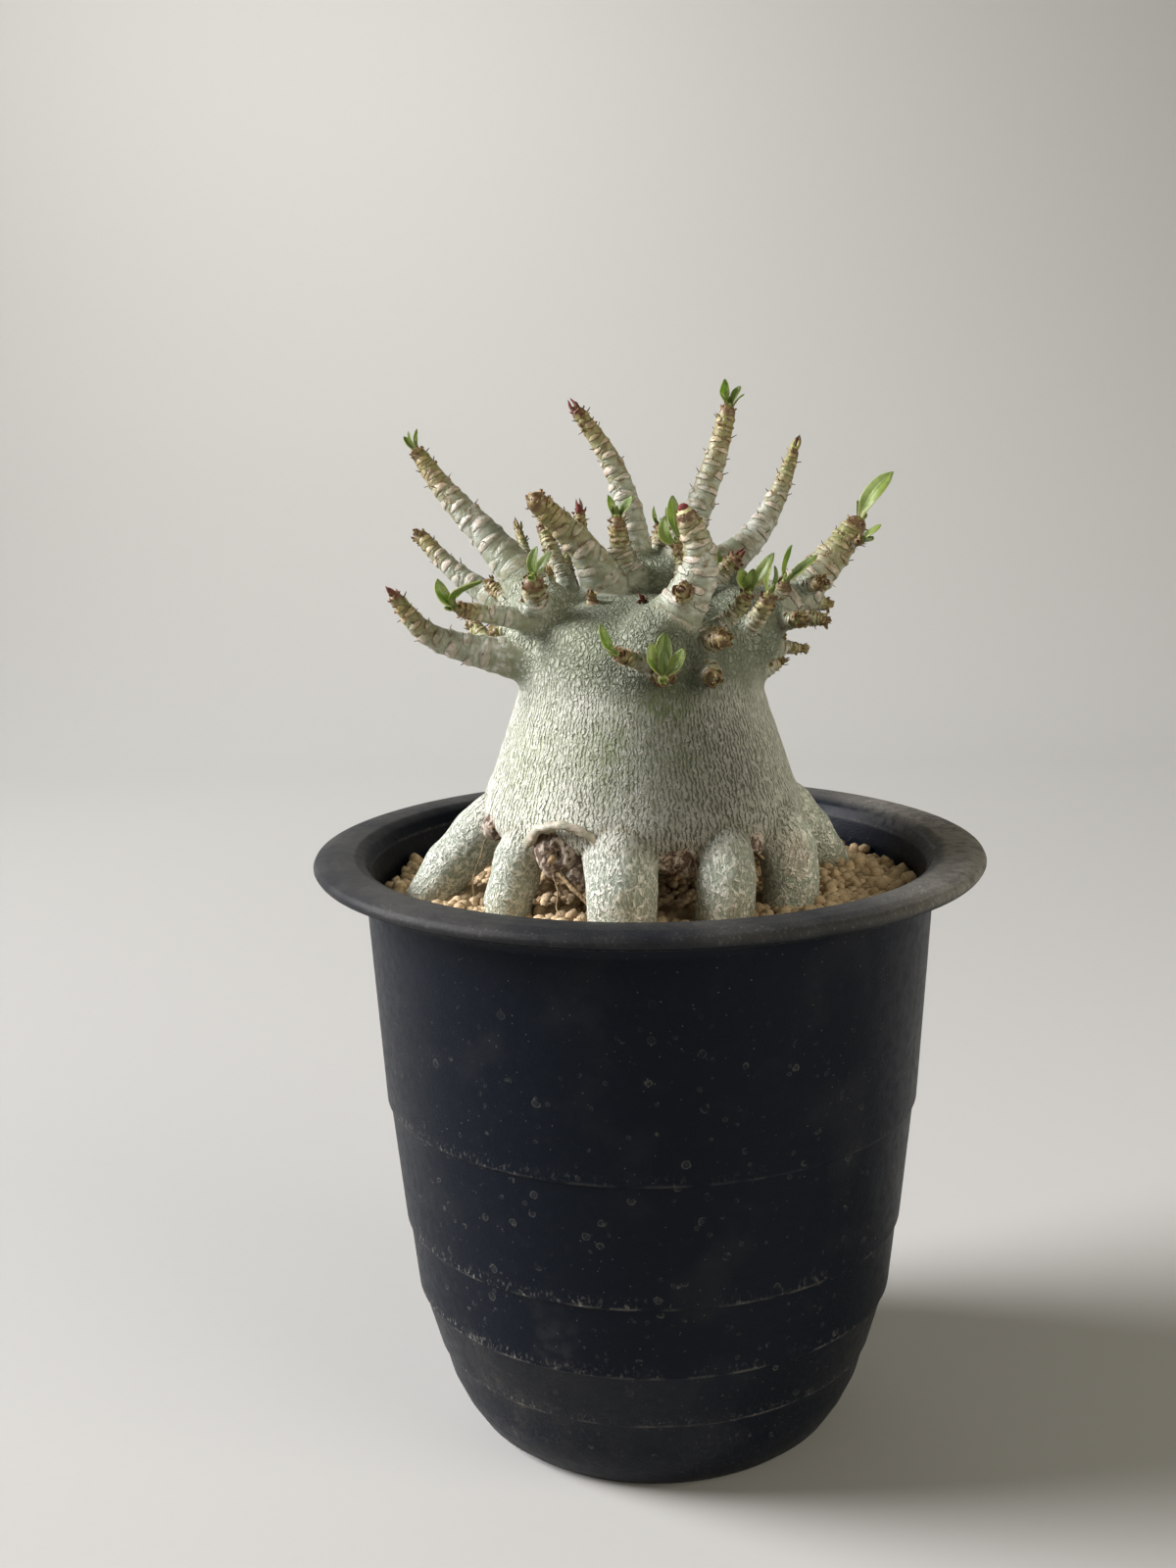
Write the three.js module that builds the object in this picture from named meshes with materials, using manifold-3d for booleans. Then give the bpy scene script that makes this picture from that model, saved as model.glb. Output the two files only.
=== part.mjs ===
// Potted arabicum desert rose: a black nursery pot, potting grit, the swollen plant and its leaf tufts.
// Millimetres, +Z up, the pot's foot ring on z = 0, its axis on the Z axis. The viewer stands at -Y.
import * as THREE from 'three';
import { mergeVertices } from 'three/addons/utils/BufferGeometryUtils.js';
import Module from 'manifold-3d';

const wasm = await Module();
wasm.setup();

// Driving dimensions: the pot
const POT_SIDES = 40;
const RIM_RADIUS = 90;
const POT_HEIGHT = 162;
const FLOOR_TOP = 4.6;
const FLOOR_UNDER = 2;
const FOOT_INNER = 43;
const DRAIN_RADIUS = 4;
const DRAIN_RING = 26;
const DRAIN_COUNT = 6;
const GAP = 0.35;

// The grit
const SOIL_LEVEL = 149.5;
const GRAIN_PITCH = 9.4;
const GRAIN_HEIGHT = 2.4;

// The plant and its leaves
const BODY_SIDES = 32;
const SHOULDER_SIDES = 9;
const ROOT_SIDES = 9;
const ROOT_RINGS = [0, 0.24, 0.42, 0.6, 1];
const BODY_CENTRE_X = -1.4;
const WRINKLE = 0.4;
const RIDGE_STEP = 3.8;
const RIDGE_DEPTH = 0.065;
const STUB_LENGTH = 1.5;
const STUB_RADIUS = 0.5;
const STUB_SPACING = 8.5;
const BRACT_LENGTH = 3.6;
const BRACT_RADIUS = 0.8;
const LEAF_THICKNESS = 0.8;
// The share of a blade's full width at each station from its foot to its tip.
const LEAF_WIDTHS = [0.3, 0.8, 1, 0.4];
const BUD_WIDTHS = [0.4, 1, 0.4];
const BROAD_LEAF = 2.5;

// Outside of the pot from the foot up: [radius, height]. Four rings, each with a small step below it.
const POT_OUTSIDE = [
  [48, 0], [51.5, 3], [55, 8.5], [58, 15],
  [60.2, 23.4], [61, 24.2],
  [65.2, 39.4], [66, 40.2],
  [68, 59.4], [68.8, 60.2],
  [72, 93.4], [72.8, 94.2],
  [76.3, 152],
];
// The rolled rim, from under the lip over the crest and into the mouth.
const POT_RIM = [
  [84, 156.6], [89, 157.6], [RIM_RADIUS, 159.4], [88.4, 161.3], [84.5, POT_HEIGHT],
  [80, POT_HEIGHT], [76.5, 160.6], [74.2, 157.8], [73.4, 152],
];
const POT_INSIDE = [[70.2, 94], [66, 58], [59, 26], [45, FLOOR_TOP]];

// The swollen stem base: [radius, height].
const BODY_PROFILE = [
  [0, 156], [24, 158], [35, 162.5], [41, 167.5], [43.2, 171], [42.8, 175], [40.8, 180],
  [37.8, 188], [34.6, 197], [32.5, 204], [31.6, 210], [30.6, 216], [27.5, 222], [20, 227],
  [10, 229], [0, 229.5],
];
// Shoulders that the main branches leave from: start, end, start radius, end radius.
const SHOULDERS = [
  { from: [-12, 0, 206], to: [-27, -3, 224], radii: [14, 9] },
  { from: [-12, 6, 208], to: [-30, 16, 222], radii: [13, 8] },
  { from: [0, 8, 206], to: [3, 17, 227], radii: [16, 11] },
  { from: [6, -2, 204], to: [26, -3, 221], radii: [16, 9.5] },
  { from: [-1, -10, 204], to: [2, -24, 220], radii: [14, 8] },
  { from: [8, 8, 206], to: [20, 18, 226], radii: [14, 8] },
];

// Roots: path from the stem base down into the grit, and the radius at its start and at its end.
const ROOTS = [
  { path: [[-28, -2, 174], [-39, -4, 171], [-52, -6, 159], [-59, -7, 148], [-62, -8, 132]],
    radii: [7.8, 5.6] },
  { path: [[-22, -16, 172], [-31, -24, 168], [-36, -26, 157], [-37, -27, 146], [-38, -28, 128]],
    radii: [6.9, 5.4] },
  { path: [[-5, -20, 173], [-8, -35, 169], [-8, -42, 160], [-8, -44, 146], [-8, -46, 128]],
    radii: [9.8, 7.4] },
  { path: [[12, -20, 172], [17, -34, 168], [18, -40, 158], [17, -41, 146], [18, -42, 128]],
    radii: [8.2, 6.2] },
  { path: [[22, -12, 174], [33, -20, 169], [36, -23, 160], [36, -24, 146], [38, -25, 128]],
    radii: [8, 6.2] },
  { path: [[26, 8, 174], [38, 15, 169], [47, 20, 158], [53, 24, 147], [57, 26, 132]],
    radii: [7.2, 5.4] },
  { path: [[-24, 13, 174], [-35, 21, 169], [-43, 28, 158], [-46, 31, 146], [-49, 34, 130]],
    radii: [7.2, 5.4] },
  { path: [[-7, 20, 174], [-11, 36, 169], [-14, 45, 159], [-15, 49, 146], [-16, 52, 128]],
    radii: [8.4, 6.2] },
  { path: [[12, 18, 173], [18, 33, 168], [22, 43, 158], [23, 47, 146], [24, 50, 128]],
    radii: [7.8, 5.8] },
];

// Branches: path from the body to the tip, radius at the base and at the tip, the tip's finish.
// `sunk` is how far the base reaches back into what it grows from.
const BRANCHES = [
  // long branches
  { path: [[-31, 2, 232], [-41, 6, 244], [-52, 10, 256], [-60, 13, 267]], radii: [5.4, 2], sunk: 9 },
  { path: [[-40, 22, 226], [-52, 27, 234], [-62, 32, 244]], radii: [3.4, 2], sunk: 15, bracts: 2 },
  { path: [[-30, -12, 224], [-40, -16, 226], [-48, -20, 228]], radii: [3, 2], sunk: 7 },
  { path: [[-32, -6, 213], [-45, -8, 216], [-57, -10, 221], [-65, -12, 231]],
    radii: [5.2, 1.7], sunk: 8, bracts: 2 },
  { path: [[-1, 16, 231], [-3, 17, 248], [-8, 19, 263], [-17, 20, 277]],
    radii: [4.8, 1.8], sunk: 8, bracts: 2 },
  { path: [[7, 14, 231], [14, 16, 247], [20, 18, 263], [24, 20, 277]], radii: [5, 2.1], sunk: 8 },
  { path: [[20, 20, 233], [31, 24, 242], [38, 28, 253], [43, 32, 265]],
    radii: [4.9, 1.5], sunk: 8, bracts: 2 },
  { path: [[26, -2, 220], [39, 0, 228], [49, 2, 237], [57, 4, 247]], radii: [7.6, 2.8], sunk: 8 },
  { path: [[1, -24, 220], [9, -26, 229], [13, -28, 240], [9, -30, 252]],
    radii: [7.2, 2.5], sunk: 8, bracts: 1 },
  { path: [[-11, 2, 231], [-15, -1, 240], [-22, -3, 248], [-29, -6, 255]],
    radii: [4.9, 2.7], sunk: 8, bracts: 2 },
  // shorter branches among them
  { path: [[-3, 6, 233], [-6, 4, 241], [-7, 3, 249]], radii: [3.5, 2.1], sunk: 8 },
  { path: [[3, 24, 234], [5, 26, 240], [6, 28, 245]], radii: [2.7, 1.9], sunk: 9 },
  { path: [[-14, 16, 234], [-16, 18, 242], [-17, 20, 250]], radii: [2.2, 1.6], sunk: 10, bracts: 1 },
  { path: [[-21, 16, 230], [-24, 20, 238], [-27, 24, 246]], radii: [2.6, 1.9], sunk: 9, bracts: 1 },
  { path: [[-18, 20, 226], [-20, 25, 232], [-21, 30, 239]], radii: [2, 1.3], sunk: 7, bracts: 1 },
  { path: [[-30, 20, 232], [-34, 30, 245]], radii: [2.1, 1], sunk: 9, bracts: 1 },
  { path: [[-28, -14, 229], [-29, -20, 235]], radii: [3, 2.5], sunk: 6 },
  { path: [[10, -4, 230], [10, -3, 237], [9, -2, 242]], radii: [2.5, 1.9], sunk: 8 },
  { path: [[18, 4, 230], [21, 4, 234], [25, 4, 238]], radii: [2.6, 2.1], sunk: 8, bracts: 1 },
  { path: [[16, -20, 221], [22, -22, 226], [25, -24, 231]], radii: [2.3, 1.9], sunk: 8 },
  { path: [[26, -13, 220], [29, -16, 225], [31, -18, 230]], radii: [2.6, 1.9], sunk: 6 },
  // side shoots and stubs
  { path: [[16, 4, 228], [20, 7, 232]], radii: [1.6, 1.4], sunk: 5 },
  { path: [[35, -5, 228], [36, -7, 232]], radii: [1.8, 1.5], sunk: 4 },
  { path: [[54, 1, 241], [57, 0, 242]], radii: [1.5, 1.3], sunk: 3 },
  { path: [[13, -26, 219], [19, -33, 221]], radii: [2.7, 2.5], sunk: 6, bracts: 1 },
  { path: [[42, -4, 231], [46, -10, 232]], radii: [2.1, 1.8], sunk: 4, bracts: 1 },
  { path: [[36, -8, 222], [40, -14, 223]], radii: [2.2, 1.8], sunk: 5, bracts: 1 },
  { path: [[40, -4, 223], [47, -8, 222]], radii: [2.4, 1.5], sunk: 5, bracts: 1 },
  { path: [[43, 0, 226], [49, 4, 225]], radii: [2.2, 1.5], sunk: 4, bracts: 1 },
  { path: [[35, 3, 214], [43, 6, 213]], radii: [2.2, 1], sunk: 8, bracts: 1 },
  { path: [[32, 3, 208], [37, 4, 210]], radii: [2.2, 1], sunk: 5, bracts: 1 },
  { path: [[15, -29, 212], [16, -35, 211]], radii: [2.5, 2.1], sunk: 4, bracts: 1 },
  { path: [[3, -32, 214], [3, -38, 212]], radii: [3, 2.7], sunk: 4 },
  { path: [[0, -31, 214], [-8, -39, 218]], radii: [2.1, 1.7], sunk: 5 },
  { path: [[-34, 13, 224], [-42, 20, 231]], radii: [2.5, 1.3], sunk: 6, bracts: 1 },
  { path: [[-33, 10, 219], [-41, 14, 218]], radii: [2.4, 2], sunk: 6, bracts: 1 },
  { path: [[-14, -9, 226], [-14, -12, 230]], radii: [1.5, 1.1], sunk: 5, bracts: 1 },
  { path: [[1, -15, 225], [-1, -19, 229]], radii: [1.4, 1], sunk: 5, bracts: 1 },
  { path: [[10, -27, 230], [8, -34, 233]], radii: [2.2, 2], sunk: 4, bracts: 1 },
  { path: [[-24, -2, 230], [-25, -6, 236]], radii: [1.5, 1], sunk: 5, bracts: 1 },
  // low branches at the back, hidden in the picture
  { path: [[-17, 27, 216], [-23, 38, 221], [-27, 48, 229]], radii: [4, 2], sunk: 8, bracts: 1 },
  { path: [[3, 29, 217], [4, 41, 220], [6, 52, 228]], radii: [4.6, 2.2], sunk: 8, bracts: 1 },
  { path: [[20, 25, 218], [28, 35, 222], [36, 43, 231]], radii: [4, 2], sunk: 8, bracts: 1 },
  { path: [[-32, 16, 212], [-41, 24, 213], [-48, 32, 219]], radii: [3.4, 1.8], sunk: 6, bracts: 1 },
  { path: [[30, 12, 214], [38, 20, 215]], radii: [2.8, 1.8], sunk: 6, bracts: 1 },
];

// Leaf tufts: the tip they grow from, and for each leaf its middle and end measured from that tip,
// its width, and the way that its upper face looks.
const LEAF_TUFTS = [
  { at: [-60, 13, 267], knob: 1.7, leaves: [
    { middle: [-0.2, 0, 2.6], end: [0.8, 0, 5.6], width: 1.6, face: [1, -1, 0] },
    { middle: [-1.6, 0, 1.8], end: [-3, 0, 3.6], width: 1.6, face: [0, -1, 1] },
    { middle: [-1, -0.8, 2.2], end: [-1.6, -1, 5], width: 1.5, face: [-1, -1, 0] },
  ] },
  { at: [-48, -20, 228], knob: 1.7, leaves: [
    { middle: [-3, -0.5, 3], end: [-4.4, -0.5, 8], width: 3.8, face: [0.5, -1, 0.3] },
    { middle: [-0.6, -0.5, 4.2], end: [7, -1, 7], width: 4, face: [0.6, -0.6, -1] },
  ] },
  { at: [24, 20, 277], knob: 1.8, leaves: [
    { middle: [-1.4, 0, 3.4], end: [-1.2, -1.6, 7], width: 3.4, face: [0.6, -1, 0] },
    { middle: [1.2, -0.6, 2.8], end: [3, -1, 5], width: 2.4, face: [-1, -1, 0] },
    { middle: [2, 0.6, 1.6], end: [4, 0.6, 3], width: 1.4, face: [-1, 0, 1] },
  ] },
  { at: [57, 4, 247], knob: 2.2, leaves: [
    { middle: [2.8, 0, 6], end: [8.6, 0, 12.4], width: 5, face: [-0.5, -1, 0.4] },
    { middle: [-0.6, 0, 2.6], end: [-0.8, 0, 5], width: 1.6, face: [1, -1, 0] },
  ] },
  { at: [57, 0, 242], knob: 1.2, leaves: [
    { middle: [1.8, -0.4, 1.6], end: [4.6, -0.6, 4.2], width: 2.8, face: [-1, -0.6, 1] },
  ] },
  { at: [-7, 3, 249], knob: 1.7, leaves: [
    { middle: [-1.2, 0, 2.4], end: [-2.2, 0, 5.6], width: 2.8, face: [1, -1, 0] },
    { middle: [2, 0, 2], end: [4.4, 0, 5.4], width: 3.4, face: [-1, -0.8, 0.4] },
  ] },
  { at: [6, 28, 245], knob: 1.6, leaves: [
    { middle: [-2.2, 0, 1.6], end: [-2.2, 0, 5.4], width: 2.4, face: [1, -0.6, 0] },
    { middle: [1.4, 0, 2], end: [1, 0, 5], width: 2, face: [-1, -0.6, 0] },
  ] },
  { at: [-29, -20, 235], knob: 2, leaves: [
    { middle: [0, -0.4, 4], end: [1.6, -0.6, 8.4], width: 2.8, face: [-0.4, -1, 0.2] },
    { middle: [2.2, 0, 3.2], end: [5, -0.6, 7], width: 2.8, face: [-0.6, -1, 0.4] },
  ] },
  { at: [9, -2, 242], knob: 1.7, leaves: [
    { middle: [-1.4, 0.4, 6], end: [-1.2, 0.6, 12.4], width: 4.8, face: [0.6, -1, 0] },
    { middle: [-3.2, -0.6, 2.2], end: [-3.6, -0.8, 7.2], width: 3.6, face: [-0.4, -1, 0.2] },
    { middle: [2.6, 0, 3.6], end: [6.4, 0, 6.4], width: 4.2, face: [-0.6, -1, 0.6] },
  ] },
  { at: [20, 7, 232], knob: 1.2, leaves: [
    { middle: [-0.2, 0, 3.6], end: [-1, 0, 7.4], width: 3, face: [0.4, -1, 0] },
  ] },
  { at: [25, -24, 231], knob: 1.6, leaves: [
    { middle: [-1.4, 0, 3], end: [-2, -0.4, 6], width: 3.8, face: [0.4, -1, 0.2] },
    { middle: [0.8, -0.8, 2.8], end: [1, -1.2, 6], width: 3.4, face: [0, -1, 0.2] },
    { middle: [3, 0, 4.6], end: [6.4, 0, 9.8], width: 3.4, face: [-0.6, -1, 0.2] },
  ] },
  { at: [31, -18, 230], knob: 1.6, leaves: [
    { middle: [-0.4, 0, 4], end: [0.2, 0, 7.8], width: 2.6, face: [-1, -0.6, 0] },
    { middle: [1.2, -0.2, 3.6], end: [1.2, -0.2, 7], width: 2.4, face: [1, -0.8, 0] },
  ] },
  { at: [36, -7, 232], knob: 1.3, leaves: [
    { middle: [-0.4, 0, 4.6], end: [2, 0, 9.4], width: 2.8, face: [1, -0.8, 0] },
    { middle: [4, 0, 3], end: [8.4, -0.4, 6.8], width: 3.2, face: [-0.6, -0.8, 1] },
  ] },
  { at: [3, -38, 212], knob: 2.3, leaves: [
    { middle: [0, 0.6, 6], end: [0.6, 0.6, 11.6], width: 4.4, face: [0, -1, 0.1] },
    { middle: [-2.6, -0.6, 4.6], end: [-2.6, -0.8, 9.4], width: 3.6, face: [0.6, -1, 0] },
    { middle: [3, -0.4, 3.6], end: [5, -0.8, 7.8], width: 3.6, face: [-0.5, -1, 0.2] },
    { middle: [0, -1.6, 3.6], end: [-0.2, -1.6, 7.8], width: 2.6, face: [0, -1, 0] },
  ] },
  { at: [-8, -39, 218], knob: 1.4, leaves: [
    { middle: [-2.6, -0.4, 3], end: [-3.8, -0.6, 8], width: 3.2, face: [0.8, -1, 0.2] },
  ] },
];

const vector = (p) => new THREE.Vector3(...p);
const LATHE_AXIS = new THREE.Vector3(0, 1, 0);
const FRAME_STEPS = 240;

// A closed three.js geometry as a solid that can be joined and cut.
function toSolid(geometry) {
  const bare = new THREE.BufferGeometry();
  bare.setAttribute('position', geometry.getAttribute('position').clone());
  if (geometry.index) bare.setIndex(geometry.index.clone());
  const merged = mergeVertices(bare, 1e-3);
  const corners = merged.index.array;
  const kept = [];
  for (let i = 0; i < corners.length; i += 3) {
    const [a, b, c] = [corners[i], corners[i + 1], corners[i + 2]];
    if (a !== b && b !== c && c !== a) kept.push(a, b, c);
  }
  const positions = merged.getAttribute('position').array;
  return new wasm.Manifold(new wasm.Mesh({
    numProp: 3,
    vertProperties: new Float32Array(positions),
    triVerts: new Uint32Array(kept),
  }));
}

function toGeometry(solid) {
  const mesh = solid.getMesh();
  const geometry = new THREE.BufferGeometry();
  geometry.setAttribute('position', new THREE.BufferAttribute(new Float32Array(mesh.vertProperties), 3));
  geometry.setIndex(new THREE.BufferAttribute(new Uint32Array(mesh.triVerts), 1));
  geometry.computeVertexNormals();
  return geometry;
}

// A profile of [radius, height] turned round the Z axis.
function turned(profile, sides) {
  const points = profile.map(([radius, height]) => new THREE.Vector2(radius, height));
  return new THREE.LatheGeometry(points, sides).rotateX(Math.PI / 2);
}

function moveVertices(geometry, move) {
  const position = geometry.getAttribute('position');
  const point = new THREE.Vector3();
  for (let i = 0; i < position.count; i += 1) {
    point.fromBufferAttribute(position, i);
    move(point);
    position.setXYZ(i, point.x, point.y, point.z);
  }
  return geometry;
}

// A smooth path, made longer at its start by `sunk` so that it reaches into what it grows from.
function smoothPath(points, sunk) {
  const corners = points.map(vector);
  if (sunk > 0) {
    const back = corners[0].clone().sub(corners[1]).setLength(sunk);
    corners.unshift(corners[0].clone().add(back));
  }
  return new THREE.CatmullRomCurve3(corners, false, 'catmullrom', 0.5);
}

// A turned profile of [radius, distance along the path] bent along the path.
function bent(profile, sides, path, tilt = () => 0) {
  const length = path.getLength();
  const frames = path.computeFrenetFrames(FRAME_STEPS, false);
  const points = profile.map(([radius, distance]) => new THREE.Vector2(radius, distance));
  const geometry = new THREE.LatheGeometry(points, sides);
  return moveVertices(geometry, (p) => {
    const radius = Math.hypot(p.x, p.z);
    const distance = THREE.MathUtils.clamp(p.y + tilt(Math.atan2(p.z, p.x), p.y, radius), 0, length);
    const share = distance / length;
    const k = Math.round(share * FRAME_STEPS);
    const centre = path.getPointAt(share);
    const [x, z] = [p.x, p.z];
    p.copy(centre);
    p.addScaledVector(frames.normals[k], x);
    p.addScaledVector(frames.binormals[k], -z);
  });
}

function cone(base, direction, radius, height) {
  const geometry = new THREE.ConeGeometry(radius, height, 3);
  geometry.translate(0, height / 2, 0);
  geometry.applyQuaternion(new THREE.Quaternion().setFromUnitVectors(LATHE_AXIS, direction));
  geometry.translate(base.x, base.y, base.z);
  return toSolid(geometry);
}

function makePot() {
  const profile = [
    [0, FLOOR_UNDER], [FOOT_INNER - 1, FLOOR_UNDER], [FOOT_INNER, 0],
    ...POT_OUTSIDE, ...POT_RIM, ...POT_INSIDE, [0, FLOOR_TOP],
  ];
  let pot = toSolid(turned(profile, POT_SIDES));
  const hole = new THREE.CylinderGeometry(DRAIN_RADIUS, DRAIN_RADIUS, 3 * FLOOR_TOP, 10);
  hole.rotateX(Math.PI / 2);
  for (let i = 0; i <= DRAIN_COUNT; i += 1) {
    const angle = (i / DRAIN_COUNT) * 2 * Math.PI;
    const reach = i === DRAIN_COUNT ? 0 : DRAIN_RING;
    const placed = hole.clone().translate(reach * Math.cos(angle), reach * Math.sin(angle), FLOOR_TOP / 2);
    pot = pot.subtract(toSolid(placed));
  }
  return pot;
}

// The grit's top is a triangular lattice in which every third point is the top of a grain.
function makeGritTop() {
  const step = GRAIN_PITCH / Math.sqrt(3);
  const rowHeight = step * Math.sqrt(3) / 2;
  const rows = 2 * Math.ceil(76 / rowHeight);
  const columns = Math.ceil(152 / step) + rows / 2;
  const slab = new THREE.BoxGeometry(columns * step, rows * rowHeight, 200, columns, rows, 1);
  slab.translate(0, 0, SOIL_LEVEL - 100);
  moveVertices(slab, (p) => {
    const row = Math.round(p.y / rowHeight);
    const column = Math.round((p.x + columns * step / 2) / step);
    const onTop = p.z > SOIL_LEVEL - 1;
    p.x -= row * step / 2;
    if (onTop) {
      const isGrain = (((column + row) % 3) + 3) % 3 === 0;
      const swell = 0.4 * Math.sin(p.x / 9) * Math.cos(p.y / 11);
      const uneven = swell + 0.5 * Math.sin(row * 12.9 + column * 7.3);
      p.z = SOIL_LEVEL + uneven + (isGrain ? GRAIN_HEIGHT / 2 : -GRAIN_HEIGHT / 2);
      p.x += 0.5 * Math.sin(row * 5.1 + column * 3.7);
      p.y += 0.5 * Math.cos(row * 4.3 + column * 6.1);
    }
  });
  return toSolid(slab);
}

function makeGrit() {
  const inside = POT_INSIDE.map(([radius, height]) => [radius - GAP, height]).reverse();
  inside[0] = [inside[0][0], FLOOR_TOP + GAP];
  const fill = toSolid(turned([[0, FLOOR_TOP + GAP], ...inside, [73.4 - GAP, 156], [0, 156]], POT_SIDES));
  let grit = fill.intersect(makeGritTop());
  ROOTS.forEach((root) => {
    grit = grit.subtract(rootSolid(root, GAP));
  });
  return grit;
}

// Roots are turned profiles bent along their paths. The same shape, grown by a gap, cuts the grit.
function rootSolid({ path, radii }, extra) {
  const curve = smoothPath(path, 0);
  const length = curve.getLength();
  const profile = [[0, 0]];
  ROOT_RINGS.forEach((share, ring) => {
    const radius = THREE.MathUtils.lerp(radii[0], radii[1], share ** 1.4) * (ring % 2 ? 1.02 : 0.98);
    profile.push([radius + extra, share * (length - 1)]);
  });
  profile.push([radii[1] * 0.6 + extra, length], [0, length]);
  const geometry = bent(profile, ROOT_SIDES, curve);
  if (extra > 0) {
    moveVertices(geometry, (p) => {
      if (p.z < path[path.length - 1][2] + 3) p.z -= extra;
    });
  }
  return toSolid(geometry);
}

function branchRadius(distance, { length, sunk, radii }) {
  const share = Math.max(0, distance - sunk) / (length - sunk);
  const taper = radii[1] + (radii[0] - radii[1]) * (1 - share) ** 0.9;
  const foot = Math.abs(distance - sunk) / radii[0];
  return taper + 0.22 * radii[0] * Math.exp(-foot);
}

function branchSolid({ path, radii, sunk, bracts = 0 }, number) {
  const curve = smoothPath(path, sunk);
  const length = curve.getLength();
  const sides = radii[0] > 5 ? 7 : (radii[0] > 3.2 ? 6 : 5);
  const isLong = length - sunk > 14;
  const shape = { length, sunk, radii };
  const start = sunk * 0.8;
  const rings = Math.max(2, Math.round((length - start) / RIDGE_STEP));
  const profile = [[0, 0], [radii[0] * 0.8, 0]];
  for (let ring = 0; ring <= rings; ring += 1) {
    const distance = start + (ring / rings) * (length - start - 0.5 * radii[1]);
    const ridge = distance > sunk ? (ring % 2 ? RIDGE_DEPTH : -RIDGE_DEPTH) : 0;
    profile.push([branchRadius(distance, shape) * (1 + ridge), distance]);
  }
  profile.push([radii[1] * 0.6, length], [0, length]);
  const tilt = (angle, distance, radius) => {
    const inside = distance > start && distance < length - radii[1];
    return inside ? 0.22 * radius * Math.cos(angle - distance * 1.1) : 0;
  };
  let branch = toSolid(bent(profile, sides, curve, tilt));
  const frames = curve.computeFrenetFrames(FRAME_STEPS, false);
  const directionAt = (share, angle) => {
    const k = Math.round(share * FRAME_STEPS);
    const out = frames.normals[k].clone().multiplyScalar(Math.cos(angle));
    return out.addScaledVector(frames.binormals[k], Math.sin(angle));
  };
  // dry leaf-stalk stubs, each a golden angle on from the last
  let turn = number;
  for (let distance = sunk + 5; isLong && distance < length - 2; distance += STUB_SPACING) {
    turn += 2.4;
    const share = distance / length;
    const out = directionAt(share, turn);
    const radius = branchRadius(distance, shape);
    const base = curve.getPointAt(share).addScaledVector(out, radius * 0.75);
    const lean = out.clone().addScaledVector(curve.getTangentAt(share), 0.5).normalize();
    branch = branch.add(cone(base, lean, STUB_RADIUS, STUB_LENGTH + radius * 0.25));
  }
  // dry bracts round a leafless tip
  for (let i = 0; i < bracts; i += 1) {
    const out = directionAt(1, number + i * 2.1);
    const base = curve.getPoint(1).addScaledVector(out, radii[1] * 0.4);
    base.addScaledVector(curve.getTangent(1), -1.4);
    const lean = curve.getTangent(1).addScaledVector(out, 0.35 + 0.25 * i).normalize();
    branch = branch.add(cone(base, lean, BRACT_RADIUS, BRACT_LENGTH - 0.4 * i));
  }
  return branch;
}

// A blunt cone with a rounded end, from inside the body to where its branches leave.
function shoulderSolid({ from, to, radii }) {
  const [start, end] = [vector(from), vector(to)];
  const length = start.distanceTo(end);
  const top = length + radii[1] * 0.8;
  const profile = [[0, 0], [radii[0] * 0.8, 0]];
  [0.4, 0.8].forEach((share) => {
    profile.push([THREE.MathUtils.lerp(radii[0], radii[1], share), share * length]);
  });
  profile.push([radii[1] * 0.85, length + radii[1] * 0.35], [0, top]);
  const cap = end.clone().add(end.clone().sub(start).setLength(radii[1] * 0.8));
  return toSolid(bent(profile, SHOULDER_SIDES, smoothPath([from, cap.toArray()], 0)));
}

function makePlant() {
  const body = turned(BODY_PROFILE, BODY_SIDES);
  moveVertices(body, (p) => {
    const radius = Math.hypot(p.x, p.y);
    if (radius < 1) return;
    const angle = Math.atan2(p.y, p.x);
    const ripple = Math.cos((BODY_SIDES / 2) * angle) * Math.cos(p.z * 0.9 + 2 * Math.sin(3 * angle));
    const scale = (radius + WRINKLE * ripple) / radius;
    p.x *= scale;
    p.y *= scale;
  });
  body.translate(BODY_CENTRE_X, 0, 0);
  let plant = toSolid(body);
  SHOULDERS.forEach((shoulder) => {
    plant = plant.add(shoulderSolid(shoulder));
  });
  ROOTS.forEach((root) => {
    plant = plant.add(rootSolid(root, 0));
  });
  BRANCHES.forEach((branch, number) => {
    plant = plant.add(branchSolid(branch, number));
  });
  return plant;
}

function leafSolid({ middle, end, width, face }, tangent, knob) {
  const start = vector(end).cross(tangent).cross(tangent).setLength(-0.62 * knob);
  const curve = new THREE.QuadraticBezierCurve3(
    start,
    vector(middle).multiplyScalar(2).sub(vector(end).multiplyScalar(0.5)),
    vector(end),
  );
  const isBroad = width > BROAD_LEAF;
  const widths = isBroad ? LEAF_WIDTHS : BUD_WIDTHS;
  const blade = new THREE.BoxGeometry(1, 1, 1, isBroad ? 2 : 1, widths.length - 1, 1);
  const facing = vector(face).normalize();
  return moveVertices(blade, (p) => {
    const share = p.y + 0.5;
    const along = curve.getTangent(share);
    const normal = facing.clone().addScaledVector(along, -facing.dot(along)).normalize();
    const across = new THREE.Vector3().crossVectors(along, normal);
    const half = widths[Math.round(share * (widths.length - 1))] * width * p.x;
    const keel = Math.abs(half) * 0.45 + p.z * LEAF_THICKNESS;
    p.copy(curve.getPoint(share)).addScaledVector(across, half).addScaledVector(normal, keel);
  });
}

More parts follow.
